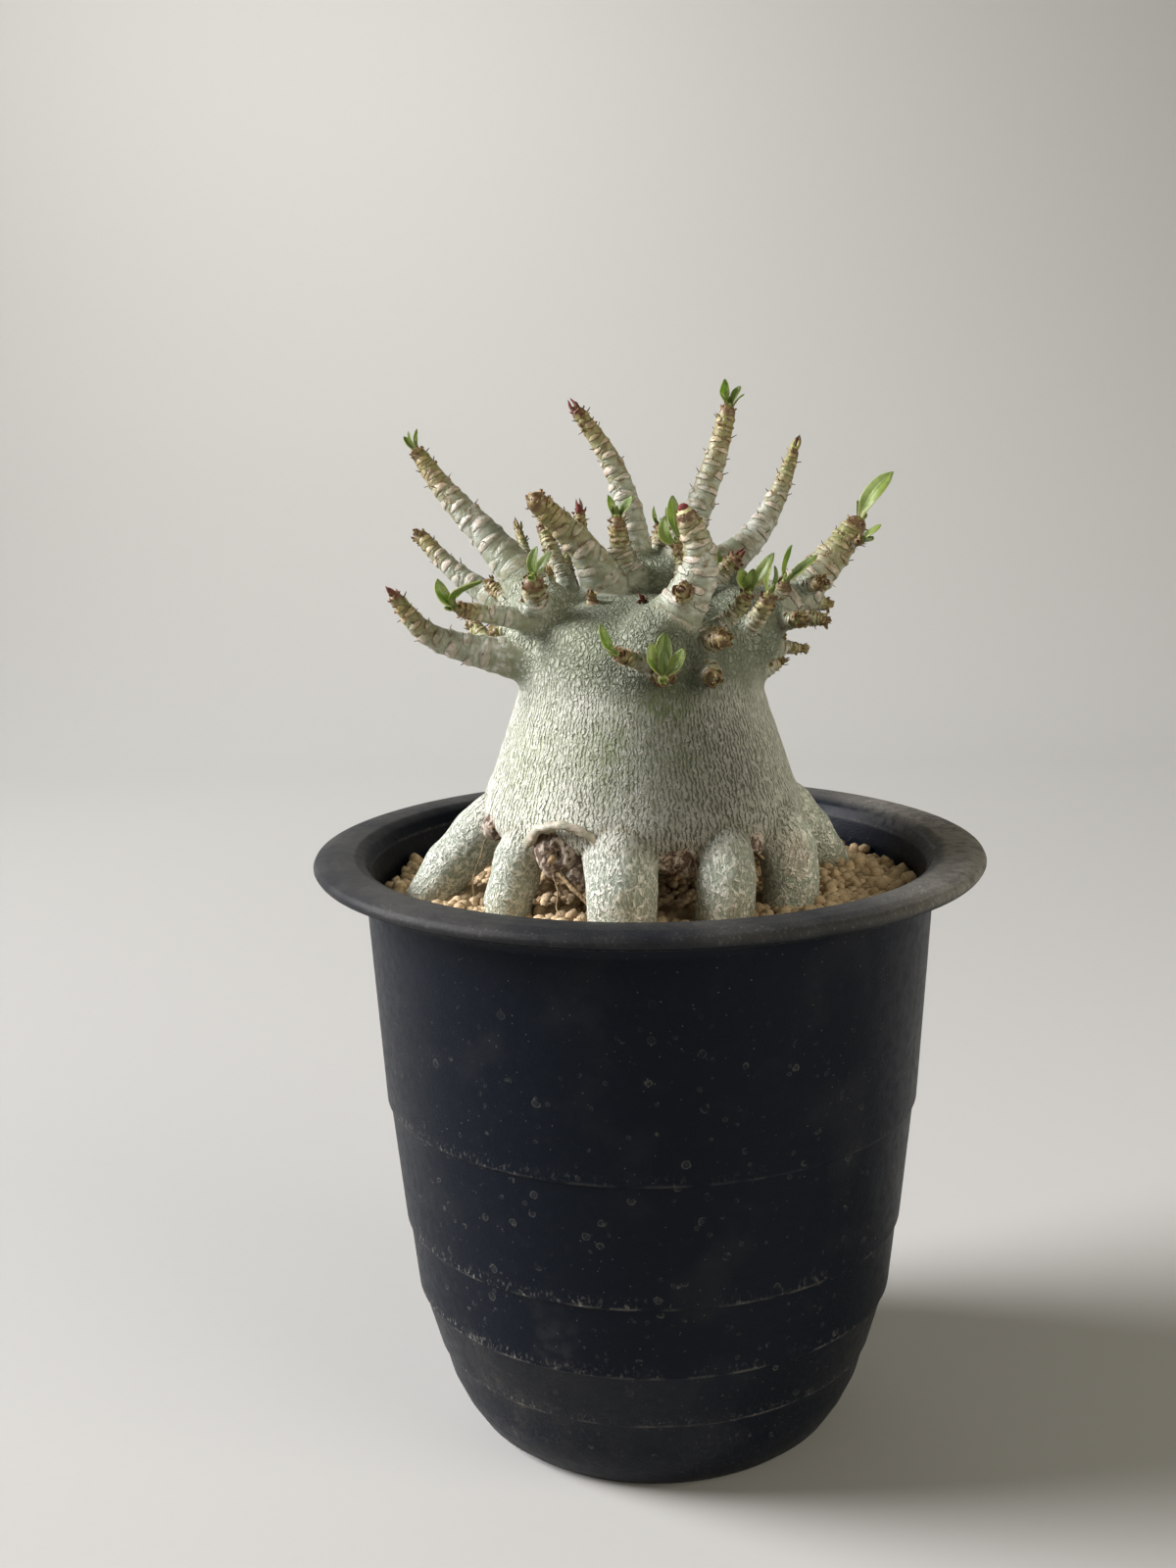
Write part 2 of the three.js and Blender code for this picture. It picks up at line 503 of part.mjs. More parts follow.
function makeTuft({ at, knob, leaves }) {
  const branch = BRANCHES.find(({ path }) => vector(path[path.length - 1]).distanceTo(vector(at)) < 0.01);
  const tangent = smoothPath(branch.path, branch.sunk).getTangent(1);
  const base = vector(at).addScaledVector(tangent, GAP);
  const profile = [[0, 0], [knob, 0], [knob * 0.9, 0.8], [0, 1.2]];
  const cup = turned(profile, 6);
  cup.applyQuaternion(new THREE.Quaternion().setFromUnitVectors(new THREE.Vector3(0, 0, 1), tangent));
  let tuft = toSolid(cup);
  leaves.forEach((leaf) => {
    const blade = leafSolid(leaf, tangent, knob);
    blade.translate(tangent.x * 0.4, tangent.y * 0.4, tangent.z * 0.4);
    tuft = tuft.add(toSolid(blade));
  });
  return tuft.translate([base.x, base.y, base.z]);
}

const POT_MATERIAL = { color: 0x1b1e22, roughness: 0.55, metalness: 0 };
const GRIT_MATERIAL = { color: 0xb6a486, roughness: 0.95, metalness: 0 };
const BARK_MATERIAL = { color: 0xb4bba4, roughness: 0.7, metalness: 0 };
const LEAF_MATERIAL = { color: 0x5d8a3c, roughness: 0.45, metalness: 0 };

const part = new THREE.Group();
function addPiece(name, solid, look) {
  const mesh = new THREE.Mesh(toGeometry(solid), new THREE.MeshStandardMaterial(look));
  mesh.name = name;
  part.add(mesh);
}

addPiece('pot', makePot(), POT_MATERIAL);
addPiece('grit', makeGrit(), GRIT_MATERIAL);
addPiece('plant', makePlant(), BARK_MATERIAL);
LEAF_TUFTS.forEach((tuft, i) => {
  addPiece(`leaf_tuft_${i + 1}`, makeTuft(tuft), LEAF_MATERIAL);
});

export default part;
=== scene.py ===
"""Potted arabicum desert rose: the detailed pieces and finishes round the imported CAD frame.

Lengths are millimetres. Only the settings and the stage are in metres, and every finished mesh is scaled
to metres at the end. The viewer stands at -Y and Z is up.
"""
import math
import random

import bmesh
import bpy
import numpy as np
from mathutils import Matrix, Vector, noise


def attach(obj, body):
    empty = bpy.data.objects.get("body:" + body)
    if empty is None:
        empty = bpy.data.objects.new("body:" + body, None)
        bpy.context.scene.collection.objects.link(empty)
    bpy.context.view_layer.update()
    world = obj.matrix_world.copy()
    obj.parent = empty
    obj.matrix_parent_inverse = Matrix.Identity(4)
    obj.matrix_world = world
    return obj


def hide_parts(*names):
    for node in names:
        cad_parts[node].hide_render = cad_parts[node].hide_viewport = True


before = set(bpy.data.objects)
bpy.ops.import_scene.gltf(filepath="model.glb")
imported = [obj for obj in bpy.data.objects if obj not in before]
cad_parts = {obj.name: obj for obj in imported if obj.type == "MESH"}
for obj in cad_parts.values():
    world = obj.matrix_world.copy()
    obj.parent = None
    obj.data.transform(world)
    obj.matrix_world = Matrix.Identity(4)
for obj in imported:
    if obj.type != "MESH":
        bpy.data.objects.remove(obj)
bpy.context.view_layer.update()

bl_info = {
    "name": "Potted desert rose",
    "version": (1, 0, 0),
    "blender": (4, 5, 0),
    "location": "3D View > Sidebar > Desert rose",
    "description": "Builds the pot, grit, plant and leaf tufts on the packed frame",
    "category": "Object",
}

MM = 0.001
TURN = 2 * math.pi
GOLDEN_ANGLE = 2.4
UP = Vector((0, 0, 1))

# How many upright wrinkles go round the stem base.
WRINKLES = 205
# Distance between the rings of torn scales on a shoot, and between the waists of a short one.
SCALE_RING = 1.25
# A shoot that shows more than this is a long one, and one thicker than this at its foot a stout one.
LONG_SHOOT = 20
STOUT_SHOOT = 7.4
# Below ROOT_TOPS the meeting places melt together less, and below FOLD_TOP they are cut in by a fold.
ROOT_TOPS = 180
FOLD_TOP = 185
# Sides of the turned forms, of the roots and shoulders, and of the branches, before they become one skin.
TURNED_SIDES = 96
ROOT_SIDES = 28
BRANCH_SIDES = 20

# Places shared with the part's source.

POT_OUTSIDE = [
    (48, 0), (51.5, 3), (55, 8.5), (58, 15), (60.2, 23.4), (61, 24.2), (65.2, 39.4), (66, 40.2),
    (68, 59.4), (68.8, 60.2), (72, 93.4), (72.8, 94.2), (76.3, 152),
]
POT_RIM = [
    (78, 155.2), (84, 156.7), (87.6, 157.1), (88.3, 158.0), (88.9, 157.7), (90, 159.4), (89.2, 161.0),
    (86.5, 161.9), (83, 162), (79, 161.7), (76.2, 160.2), (74.4, 157.4), (73.4, 152),
]
POT_INSIDE = [(70.2, 94), (66, 58), (59, 26), (45, 4.6)]
POT_FLOOR_UNDER = 2
POT_FLOOR_TOP = 4.6
FOOT_INNER = 43
DRAIN_RADIUS = 4
DRAIN_RING = 26
DRAIN_COUNT = 6
STEP_HEIGHTS = (23.8, 39.8, 59.8, 93.8)

BODY_CENTRE_X = -1.4
BODY_PROFILE = [
    (0, 156), (24, 158), (35, 162.5), (41, 167.5), (43.2, 171), (42.8, 175), (40.8, 180), (37.8, 188),
    (34.6, 197), (32.5, 204), (31.6, 210), (30.6, 216), (27.5, 222), (20, 227), (10, 229), (0, 229.5),
]
# Shoulders: start, end, start radius, end radius.
SHOULDERS = [
    ((-12, 0, 206), (-27, -3, 224), 14, 9),
    ((-12, 6, 208), (-30, 16, 222), 13, 8),
    ((0, 8, 206), (3, 17, 227), 16, 11),
    ((6, -2, 204), (26, -3, 221), 16, 9.5),
    ((-1, -10, 204), (2, -24, 220), 14, 8),
    ((8, 8, 206), (20, 18, 226), 14, 8),
]
# Roots: start radius, end radius, path from the stem base into the grit.
ROOTS = [
    (7.8, 5.6, [(-28, -2, 174), (-39, -4, 171), (-52, -6, 159), (-59, -7, 148), (-62, -8, 132)]),
    (6.9, 5.4, [(-22, -16, 172), (-31, -24, 168), (-36, -26, 157), (-37, -27, 146), (-38, -28, 128)]),
    (9.8, 7.4, [(-5, -20, 173), (-8, -35, 169), (-8, -42, 160), (-8, -44, 146), (-8, -46, 128)]),
    (8.2, 6.2, [(12, -20, 172), (17, -34, 168), (18, -40, 158), (17, -41, 146), (18, -42, 128)]),
    (8, 6.2, [(22, -12, 174), (33, -20, 169), (36, -23, 160), (36, -24, 146), (38, -25, 128)]),
    (7.2, 5.4, [(26, 8, 174), (38, 15, 169), (47, 20, 158), (53, 24, 147), (57, 26, 132)]),
    (7.2, 5.4, [(-24, 13, 174), (-35, 21, 169), (-43, 28, 158), (-46, 31, 146), (-49, 34, 130)]),
    (8.4, 6.2, [(-7, 20, 174), (-11, 36, 169), (-14, 45, 159), (-15, 49, 146), (-16, 52, 128)]),
    (7.8, 5.8, [(12, 18, 173), (18, 33, 168), (22, 43, 158), (23, 47, 146), (24, 50, 128)]),
]
# Branches: base radius, tip radius, length sunk into what carries them, tip finish, path. The tip finish
# is "leaf" under a leaf tuft, "bud" under the bud, "spike" on a bare point, else its bracts' colour.
BRANCHES = [
    (5.4, 2, 9, "leaf", [(-31, 2, 232), (-41, 6, 244), (-52, 10, 256), (-60, 13, 267)]),
    (3.4, 2, 15, "green", [(-40, 22, 226), (-52, 27, 234), (-62, 32, 244)]),
    (3, 2, 7, "leaf", [(-30, -12, 224), (-40, -16, 226), (-48, -20, 228)]),
    (5.2, 1.7, 8, "red", [(-32, -6, 213), (-45, -8, 216), (-57, -10, 221), (-65, -12, 231)]),
    (4.8, 1.8, 8, "red", [(-1, 16, 231), (-3, 17, 248), (-8, 19, 263), (-17, 20, 277)]),
    (5, 2.1, 8, "leaf", [(7, 14, 231), (14, 16, 247), (20, 18, 263), (24, 20, 277)]),
    (4.9, 1.5, 8, "spike", [(20, 20, 233), (31, 24, 242), (38, 28, 253), (43, 32, 265)]),
    (7.6, 2.8, 8, "leaf", [(26, -2, 220), (39, 0, 228), (49, 2, 237), (57, 4, 247)]),
    (7.2, 2.5, 8, "bud", [(1, -24, 220), (9, -26, 229), (13, -28, 240), (9, -30, 252)]),
    (4.9, 2.7, 8, "brown", [(-11, 2, 231), (-15, -1, 240), (-22, -3, 248), (-29, -6, 255)]),
    (3.5, 2.1, 8, "leaf", [(-3, 6, 233), (-6, 4, 241), (-7, 3, 249)]),
    (2.7, 1.9, 9, "leaf", [(3, 24, 234), (5, 26, 240), (6, 28, 245)]),
    (2.2, 1.6, 10, "red", [(-14, 16, 234), (-16, 18, 242), (-17, 20, 250)]),
    (2.6, 1.9, 9, "brown", [(-21, 16, 230), (-24, 20, 238), (-27, 24, 246)]),
    (2, 1.3, 7, "brown", [(-18, 20, 226), (-20, 25, 232), (-21, 30, 239)]),
    (2.1, 1, 9, "spike", [(-30, 20, 232), (-34, 30, 245)]),
    (3, 2.5, 6, "leaf", [(-28, -14, 229), (-29, -20, 235)]),
    (2.5, 1.9, 8, "leaf", [(10, -4, 230), (10, -3, 237), (9, -2, 242)]),
    (2.6, 2.1, 8, "red", [(18, 4, 230), (21, 4, 234), (25, 4, 238)]),
    (2.3, 1.9, 8, "leaf", [(16, -20, 221), (22, -22, 226), (25, -24, 231)]),
    (2.6, 1.9, 6, "leaf", [(26, -13, 220), (29, -16, 225), (31, -18, 230)]),
    (1.6, 1.4, 5, "leaf", [(16, 4, 228), (20, 7, 232)]),
    (1.8, 1.5, 4, "leaf", [(35, -5, 228), (36, -7, 232)]),
    (1.5, 1.3, 3, "leaf", [(54, 1, 241), (57, 0, 242)]),
    (2.7, 2.5, 6, "brown", [(13, -26, 219), (19, -33, 221)]),
    (2.1, 1.8, 4, "brown", [(42, -4, 231), (46, -10, 232)]),
    (2.2, 1.8, 5, "brown", [(36, -8, 222), (40, -14, 223)]),
    (2.4, 1.5, 5, "brown", [(40, -4, 223), (47, -8, 222)]),
    (2.2, 1.5, 4, "brown", [(43, 0, 226), (49, 4, 225)]),
    (2.2, 1, 8, "brown", [(35, 3, 214), (43, 6, 213)]),
    (2.2, 1, 5, "brown", [(32, 3, 208), (37, 4, 210)]),
    (2.5, 2.1, 4, "brown", [(15, -29, 212), (16, -35, 211)]),
    (3, 2.7, 4, "leaf", [(3, -32, 214), (3, -38, 212)]),
    (2.1, 1.7, 5, "leaf", [(0, -31, 214), (-8, -39, 218)]),
    (2.5, 1.3, 6, "brown", [(-34, 13, 224), (-42, 20, 231)]),
    (2.4, 2, 6, "brown", [(-33, 10, 219), (-41, 14, 218)]),
    (1.5, 1.1, 5, "brown", [(-14, -9, 226), (-14, -12, 230)]),
    (1.4, 1, 5, "red", [(1, -15, 225), (-1, -19, 229)]),
    (2.2, 2, 4, "brown", [(10, -27, 230), (8, -34, 233)]),
    (1.5, 1, 5, "brown", [(-24, -2, 230), (-25, -6, 236)]),
    (4, 2, 8, "green", [(-17, 27, 216), (-23, 38, 221), (-27, 48, 229)]),
    (4.6, 2.2, 8, "brown", [(3, 29, 217), (4, 41, 220), (6, 52, 228)]),
    (4, 2, 8, "red", [(20, 25, 218), (28, 35, 222), (36, 43, 231)]),
    (3.4, 1.8, 6, "brown", [(-32, 16, 212), (-41, 24, 213), (-48, 32, 219)]),
    (2.8, 1.8, 6, "brown", [(30, 12, 214), (38, 20, 215)]),
]
# Leaf tufts: the tip they grow from, the radius of its knob, and for each leaf its middle and end from
# that tip, its width and the way its upper face looks.
LEAF_TUFTS = [
    ((-60, 13, 267), 1.7, [
        ((-0.2, 0, 2.6), (0.8, 0, 5.6), 1.6, (1, -1, 0)),
        ((-1.6, 0, 1.8), (-3, 0, 3.6), 1.6, (0, -1, 1)),
        ((-1, -0.8, 2.2), (-1.6, -1, 5), 1.5, (-1, -1, 0))]),
    ((-48, -20, 228), 1.7, [
        ((-3, -0.5, 3), (-4.4, -0.5, 8), 3.8, (0.5, -1, 0.3)),
        ((-0.6, -0.5, 4.2), (7, -1, 7), 4, (0.6, -0.6, -1))]),
    ((24, 20, 277), 1.8, [
        ((-1.4, 0, 3.4), (-1.2, -1.6, 7), 3.4, (0.6, -1, 0)),
        ((1.2, -0.6, 2.8), (3, -1, 5), 2.4, (-1, -1, 0)),
        ((2, 0.6, 1.6), (4, 0.6, 3), 1.4, (-1, 0, 1))]),
    ((57, 4, 247), 2.2, [
        ((2.8, 0, 6), (8.6, 0, 12.4), 5, (-0.5, -1, 0.4)),
        ((-0.6, 0, 2.6), (-0.8, 0, 5), 1.6, (1, -1, 0))]),
    ((57, 0, 242), 1.2, [
        ((1.8, -0.4, 1.6), (4.6, -0.6, 4.2), 2.8, (-1, -0.6, 1))]),
    ((-7, 3, 249), 1.7, [
        ((-1.2, 0, 2.4), (-2.2, 0, 5.6), 2.8, (1, -1, 0)),
        ((2, 0, 2), (4.4, 0, 5.4), 3.4, (-1, -0.8, 0.4))]),
    ((6, 28, 245), 1.6, [
        ((-2.2, 0, 1.6), (-2.2, 0, 5.4), 2.4, (1, -0.6, 0)),
        ((1.4, 0, 2), (1, 0, 5), 2, (-1, -0.6, 0))]),
    ((-29, -20, 235), 2, [
        ((0, -0.4, 4), (1.6, -0.6, 8.4), 2.8, (-0.4, -1, 0.2)),
        ((2.2, 0, 3.2), (5, -0.6, 7), 2.8, (-0.6, -1, 0.4))]),
    ((9, -2, 242), 1.7, [
        ((-1.4, 0.4, 6), (-1.2, 0.6, 12.4), 4.8, (0.6, -1, 0)),
        ((-3.2, -0.6, 2.2), (-3.6, -0.8, 7.2), 3.6, (-0.4, -1, 0.2)),
        ((2.6, 0, 3.6), (6.4, 0, 6.4), 4.2, (-0.6, -1, 0.6))]),
    ((20, 7, 232), 1.2, [
        ((-0.2, 0, 3.6), (-1, 0, 7.4), 3, (0.4, -1, 0))]),
    ((25, -24, 231), 1.6, [
        ((-1.4, 0, 3), (-2, -0.4, 6), 3.8, (0.4, -1, 0.2)),
        ((0.8, -0.8, 2.8), (1, -1.2, 6), 3.4, (0, -1, 0.2)),
        ((3, 0, 4.6), (6.4, 0, 9.8), 3.4, (-0.6, -1, 0.2))]),
    ((31, -18, 230), 1.6, [
        ((-0.4, 0, 4), (0.2, 0, 7.8), 2.6, (-1, -0.6, 0)),
        ((1.2, -0.2, 3.6), (1.2, -0.2, 7), 2.4, (1, -0.8, 0))]),
    ((36, -7, 232), 1.3, [
        ((-0.4, 0, 4.6), (2, 0, 9.4), 2.8, (1, -0.8, 0)),
        ((4, 0, 3), (8.4, -0.4, 6.8), 3.2, (-0.6, -0.8, 1))]),
    ((3, -38, 212), 2.3, [
        ((0, 0.6, 6), (0.6, 0.6, 11.6), 4.4, (0, -1, 0.1)),
        ((-2.6, -0.6, 4.6), (-2.6, -0.8, 9.4), 3.6, (0.6, -1, 0)),
        ((3, -0.4, 3.6), (5, -0.8, 7.8), 3.6, (-0.5, -1, 0.2)),
        ((0, -1.6, 3.6), (-0.2, -1.6, 7.8), 2.6, (0, -1, 0))]),
    ((-8, -39, 218), 1.4, [
        ((-2.6, -0.4, 3), (-3.8, -0.6, 8), 3.2, (0.8, -1, 0.2))]),
]

# Dry corky patches under the stem base: centre, radius, how deep the middle lies.
CORK_PATCHES = [
    ((-40.6, -15, 169.5), 4.6, 0.5),
    ((-22.4, -34, 165.8), 6.0, 1.2),
    ((5.8, -37, 164.5), 7.5, 0.6),
    ((24.5, -33, 167.0), 5.0, 0.5),
    ((-30, 29, 168), 5.5, 0.6),
    ((4, 41, 167), 6, 1.2),
    ((40, 2, 168), 5, 0.6),
]
# Lumps of cork that fill the hollows between the root tops: centre and half sizes.
CORK_LUMPS = [
    ((-22.3, -32.5, 168.2), (6.6, 5.2, 8.2)),
    ((-18.5, -34.5, 162.5), (4.2, 3.4, 4.6)),
    ((5.2, -34.6, 166.6), (8.2, 4.4, 4.4)),
    ((9.2, -35.0, 163.6), (3.6, 3.2, 3.4)),
    ((-40.4, -13.0, 169.8), (3.2, 3.0, 3.4)),
    ((24.8, -30.5, 168.4), (3.2, 3.2, 4.2)),
    ((-30, 27, 167.5), (4.6, 4.4, 4.2)),
    ((4, 38.5, 167), (7, 4.2, 4.6)),
]
# The dark pit in the largest lump: centre and radius.
CORK_PIT = ((-24.6, -38.6, 167.6), 4.0)
# The pale healed lip round the deepest patch, and the oval scar on a front root.
HEALED_LIP = [(-31.2, -31.8, 170), (-28.2, -36.7, 174.2), (-22, -39.9, 175.8), (-15.9, -41.4, 173.2),
              (-14, -41.0, 169.5)]
OVAL_SCAR = ((37.5, -30.5, 165.5), 3.4, 5.2)
# Thin dry root threads that hang down to the grit: radius and path.
ROOT_THREADS = [
    (0.6, [(-24, -36, 163), (-20, -40, 159.5), (-15.5, -43.5, 155.5), (-11, -47, 151.5)]),
    (0.22, [(-26, -34, 164), (-24, -39, 159), (-24, -44, 155), (-20, -49, 152)]),
    (0.24, [(-43, -16, 167), (-46, -20, 158), (-46, -24, 152)]),
    (0.3, [(5, 43, 164), (4, 48, 156), (8, 54, 151.5)]),
]


# Settings a user would change.

class PotSettings(bpy.types.PropertyGroup):
    sides: bpy.props.IntProperty(
        name="Sides", description="Faces round the pot", default=144, min=24)
    colour: bpy.props.FloatVectorProperty(
        name="Plastic", description="Colour of the clean plastic", subtype="COLOR",
        default=(0.0030, 0.0052, 0.0098), min=0, max=1)
    # also the colour of the painted sheen on the pot's flanks and rim
    dust_and_sheen_colour: bpy.props.FloatVectorProperty(
        name="Dust", description="Colour of the dust on the plastic", subtype="COLOR",
        default=(0.20, 0.19, 0.17), min=0, max=1)


class GritSettings(bpy.types.PropertyGroup):
    grain_size: bpy.props.FloatProperty(
        name="Grain size", description="Width of a usual grain", unit="LENGTH", default=3.7 * MM)
    pale: bpy.props.FloatVectorProperty(
        name="Pale grains", description="Colour of the palest grains", subtype="COLOR",
        default=(0.88, 0.68, 0.43), min=0, max=1)
    dark: bpy.props.FloatVectorProperty(
        name="Dark grains", description="Colour of the darkest grains", subtype="COLOR",
        default=(0.40, 0.29, 0.175), min=0, max=1)


class PlantSettings(bpy.types.PropertyGroup):
    skin_pitch: bpy.props.FloatProperty(
        name="Skin pitch", description="Size of a face on the stem base", unit="LENGTH", default=1.18 * MM)
    scar_depth: bpy.props.FloatProperty(
        name="Scar depth", description="How far a leaf scar's cushion stands out", unit="LENGTH",
        default=0.33 * MM)
    ridge: bpy.props.FloatVectorProperty(
        name="Wrinkle tops", description="Colour of the raised wrinkles", subtype="COLOR",
        default=(0.68, 0.68, 0.60), min=0, max=1)
    # the darker furrows are partly the skin's own colour and partly painted shade in the wrinkles
    furrow_and_shade: bpy.props.FloatVectorProperty(
        name="Wrinkle furrows", description="Colour between the wrinkles", subtype="COLOR",
        default=(0.20, 0.225, 0.145), min=0, max=1)
    young: bpy.props.FloatVectorProperty(
        name="Young bark", description="Colour of the bark near the tips", subtype="COLOR",
        default=(0.24, 0.22, 0.07), min=0, max=1)


class LeafSettings(bpy.types.PropertyGroup):
    thickness: bpy.props.FloatProperty(
        name="Thickness", description="Thickness of a leaf", unit="LENGTH", default=0.5 * MM)
    green: bpy.props.FloatVectorProperty(
        name="Green", description="Colour of a leaf's upper side", subtype="COLOR",
        default=(0.098, 0.155, 0.028), min=0, max=1)


class StageSettings(bpy.types.PropertyGroup):
    key_power: bpy.props.FloatProperty(
        name="Key light", description="Power of the large light on the left", unit="POWER", default=29.0)
    fill_power: bpy.props.FloatProperty(
        name="Fill light", description="Power of the light on the right", unit="POWER", default=13.5)
    paper: bpy.props.FloatVectorProperty(
        name="Floor", description="Colour of the floor and backdrop", subtype="COLOR",
        default=(0.44, 0.438, 0.425), min=0, max=1)


# Shader expressions.

class Signal:
    """An output of a material's node. Sums and products of signals add Math nodes."""

    def __init__(self, finish, socket):
        self.finish = finish
        self.socket = socket

    def __add__(self, other):
        return self.finish.math("ADD", self, other)

    __radd__ = __add__

    def __sub__(self, other):
        return self.finish.math("SUBTRACT", self, other)

    def __rsub__(self, other):
        return self.finish.math("SUBTRACT", other, self)

    def __mul__(self, other):
        return self.finish.math("MULTIPLY", self, other)

    __rmul__ = __mul__

    def clipped(self):
        return self.finish.node("ShaderNodeClamp", {}, {"Value": self})

    def above(self, low, high):
        """0 below `low`, 1 above `high`, smooth between them."""
        return self.finish.node("ShaderNodeMapRange", {"interpolation_type": "SMOOTHSTEP"},
                                {"Value": self, "From Min": low, "From Max": high})

    def below(self, low, high):
        return 1 - self.above(low, high)

    def within(self, low, full, fading, high):
        """0 below `low`, 1 from `full` to `fading`, 0 above `high`."""
        return self.above(low, full) * self.below(fading, high)


class Finish:
    """A material made of nodes, with its Principled shader."""

    def __init__(self, name, roughness, **constants):
        self.material = bpy.data.materials.new(name)
        self.material.use_nodes = True
        self.nodes = self.material.node_tree.nodes
        self.links = self.material.node_tree.links
        self.nodes.clear()
        self.shader = self.nodes.new("ShaderNodeBsdfPrincipled")
        output = self.nodes.new("ShaderNodeOutputMaterial")
        self.links.new(self.shader.outputs["BSDF"], output.inputs["Surface"])
        self.shader.inputs["Roughness"].default_value = roughness
        for socket, value in constants.items():
            self.shader.inputs[socket.replace("_", " ")].default_value = value

    def node(self, kind, settings, inputs, output=0):
        """Adds a node: its settings first, then the values or links of its sockets."""
        made = self.nodes.new(kind)
        for name, value in settings.items():
            setattr(made, name, value)
        for key, value in inputs.items():
            if isinstance(value, Signal):
                self.links.new(value.socket, made.inputs[key])
            else:
                made.inputs[key].default_value = value
        return Signal(self, made.outputs[output])

    def math(self, operation, *values):
        return self.node("ShaderNodeMath", {"operation": operation}, dict(enumerate(values)))

    def vectors(self, operation, first, second, output=0):
        return self.node("ShaderNodeVectorMath", {"operation": operation}, {0: first, 1: second}, output)

    def place(self):
        """Object coordinates in millimetres."""
        coordinates = self.node("ShaderNodeTexCoord", {}, {}, "Object")
        return self.scaled(coordinates, (1 / MM, 1 / MM, 1 / MM))

    def scaled(self, vector, factors):
        return self.vectors("MULTIPLY", vector, factors)

    def upright(self, vector, share):
        """The vector with its Z times `share`: under 1, it draws a pattern out upright."""
        return self.scaled(vector, (1, 1, share))

    def shifted(self, vector, other):
        return self.vectors("ADD", vector, other)

    def distance(self, vector, point):
        return self.vectors("DISTANCE", vector, point, "Value")

    def near(self, vector, share, point, inner, outer):
        """1 within `inner` of a point and 0 past `outer`. The point's Z is already times `share`."""
        return self.distance(self.upright(vector, share), point).below(inner, outer)

    def noise(self, vector, scale, detail=2.0, output="Fac"):
        return self.node("ShaderNodeTexNoise", {}, {"Vector": vector, "Scale": scale, "Detail": detail},
                         output)

    def swayed(self, vector, scale, reach):
        """The vector, pushed about by up to half of `reach`."""
        colour = self.noise(vector, scale, 1.0, "Color")
        centred = self.shifted(colour, (-0.5, -0.5, -0.5))
        return self.shifted(vector, self.scaled(centred, (reach, reach, reach)))

    def cells(self, vector, scale, feature="F1", output="Distance"):
        return self.node("ShaderNodeTexVoronoi", {"feature": feature}, {"Vector": vector, "Scale": scale},
                         output)

    def seams(self, vector, scale):
        """Distance from the lines between cells."""
        return self.cells(vector, scale, "DISTANCE_TO_EDGE")

    def number(self, name):
        return self.node("ShaderNodeAttribute", {"attribute_name": name}, {}, "Fac")

    def vector(self, name):
        return self.node("ShaderNodeAttribute", {"attribute_name": name}, {}, "Vector")

    def parts(self, vector):
        split = self.node("ShaderNodeSeparateXYZ", {}, {"Vector": vector})
        return [Signal(self, socket) for socket in split.socket.node.outputs]

    def blend(self, first, second, amount):
        """A colour between two colours."""
        colours = [value if isinstance(value, Signal) else (*value[:3], 1) for value in (first, second)]
        return self.node("ShaderNodeMix", {"data_type": "RGBA"},
                         {"Factor": amount, 6: colours[0], 7: colours[1]}, 2)

    def layered(self, colour, *layers):
        """The colour under others, each laid on by its own amount."""
        for over, amount in layers:
            colour = self.blend(colour, over, amount)
        return colour

    def shade(self, colour, amount):
        """The colour times a brightness that varies."""
        grey = self.node("ShaderNodeCombineXYZ", {}, {"X": amount, "Y": amount, "Z": amount})
        return self.scaled(colour, grey)

    def finish(self, colour, roughness=None, height=None, depth=0.3):
        """Links colour, roughness and a bump of the given depth to the shader."""
        self.links.new(colour.socket, self.shader.inputs["Base Color"])
        if roughness is not None:
            self.links.new(roughness.socket, self.shader.inputs["Roughness"])
        if height is not None:
            bump = self.node("ShaderNodeBump", {},
                             {"Strength": 1.0, "Distance": depth * MM, "Height": height})
            self.links.new(bump.socket, self.shader.inputs["Normal"])
        return self.material


def mixed(first, second, amount):
    """A number between two numbers, any of which may vary over the surface."""
    return first + (second - first) * amount


# Colours beside those in the settings.

RUSTY_GRAIN = (0.36, 0.22, 0.12)
MOSSY_SKIN = (0.21, 0.27, 0.10)
CROWN_SKIN = (0.22, 0.27, 0.145)
BLEACHED_SKIN = (0.72, 0.72, 0.62)
ROOT_DARK = (0.25, 0.305, 0.235)
ROOT_PALE = (0.43, 0.48, 0.38)
ROOT_LINES = (0.86, 0.87, 0.77)
ROOT_AT_GRIT = (0.42, 0.36, 0.22)
ROOT_SCAR = (0.50, 0.43, 0.36)
ROOT_SCAR_RIM = (0.72, 0.66, 0.55)
SILVER_DARK = (0.22, 0.26, 0.185)
SILVER_PALE = (0.47, 0.48, 0.41)
BLOOM_AND_SHEEN = (0.66, 0.65, 0.61)
BRANCH_FOOT = (0.22, 0.24, 0.14)
OLD_OLIVE = (0.26, 0.25, 0.13)
YOUNG_BROWN = (0.30, 0.22, 0.08)
YOUNG_RED = (0.17, 0.07, 0.035)
YOUNG_GREEN = (0.14, 0.20, 0.05)
OLD_SCAR = (0.62, 0.53, 0.45)
YOUNG_SCAR = (0.48, 0.38, 0.17)
BROWN_SCAR = (0.38, 0.24, 0.18)
WORN_BARK = (0.24, 0.17, 0.12)
DARK_END = (0.12, 0.055, 0.03)
OLD_GROOVE = (0.19, 0.15, 0.11)
YOUNG_GROOVE = (0.135, 0.075, 0.038)
FOLD_PAINTED_SHADE = (0.17, 0.15, 0.09)
CORK_DARK = (0.13, 0.088, 0.066)
CORK_PALE = (0.50, 0.43, 0.36)
DRY_DARK = (0.050, 0.022, 0.014)
DRY_PALE = (0.38, 0.28, 0.145)
DRY_RED = (0.15, 0.024, 0.026)
DRY_GREEN = (0.25, 0.27, 0.07)
BUD_CREAM = (0.60, 0.54, 0.28)
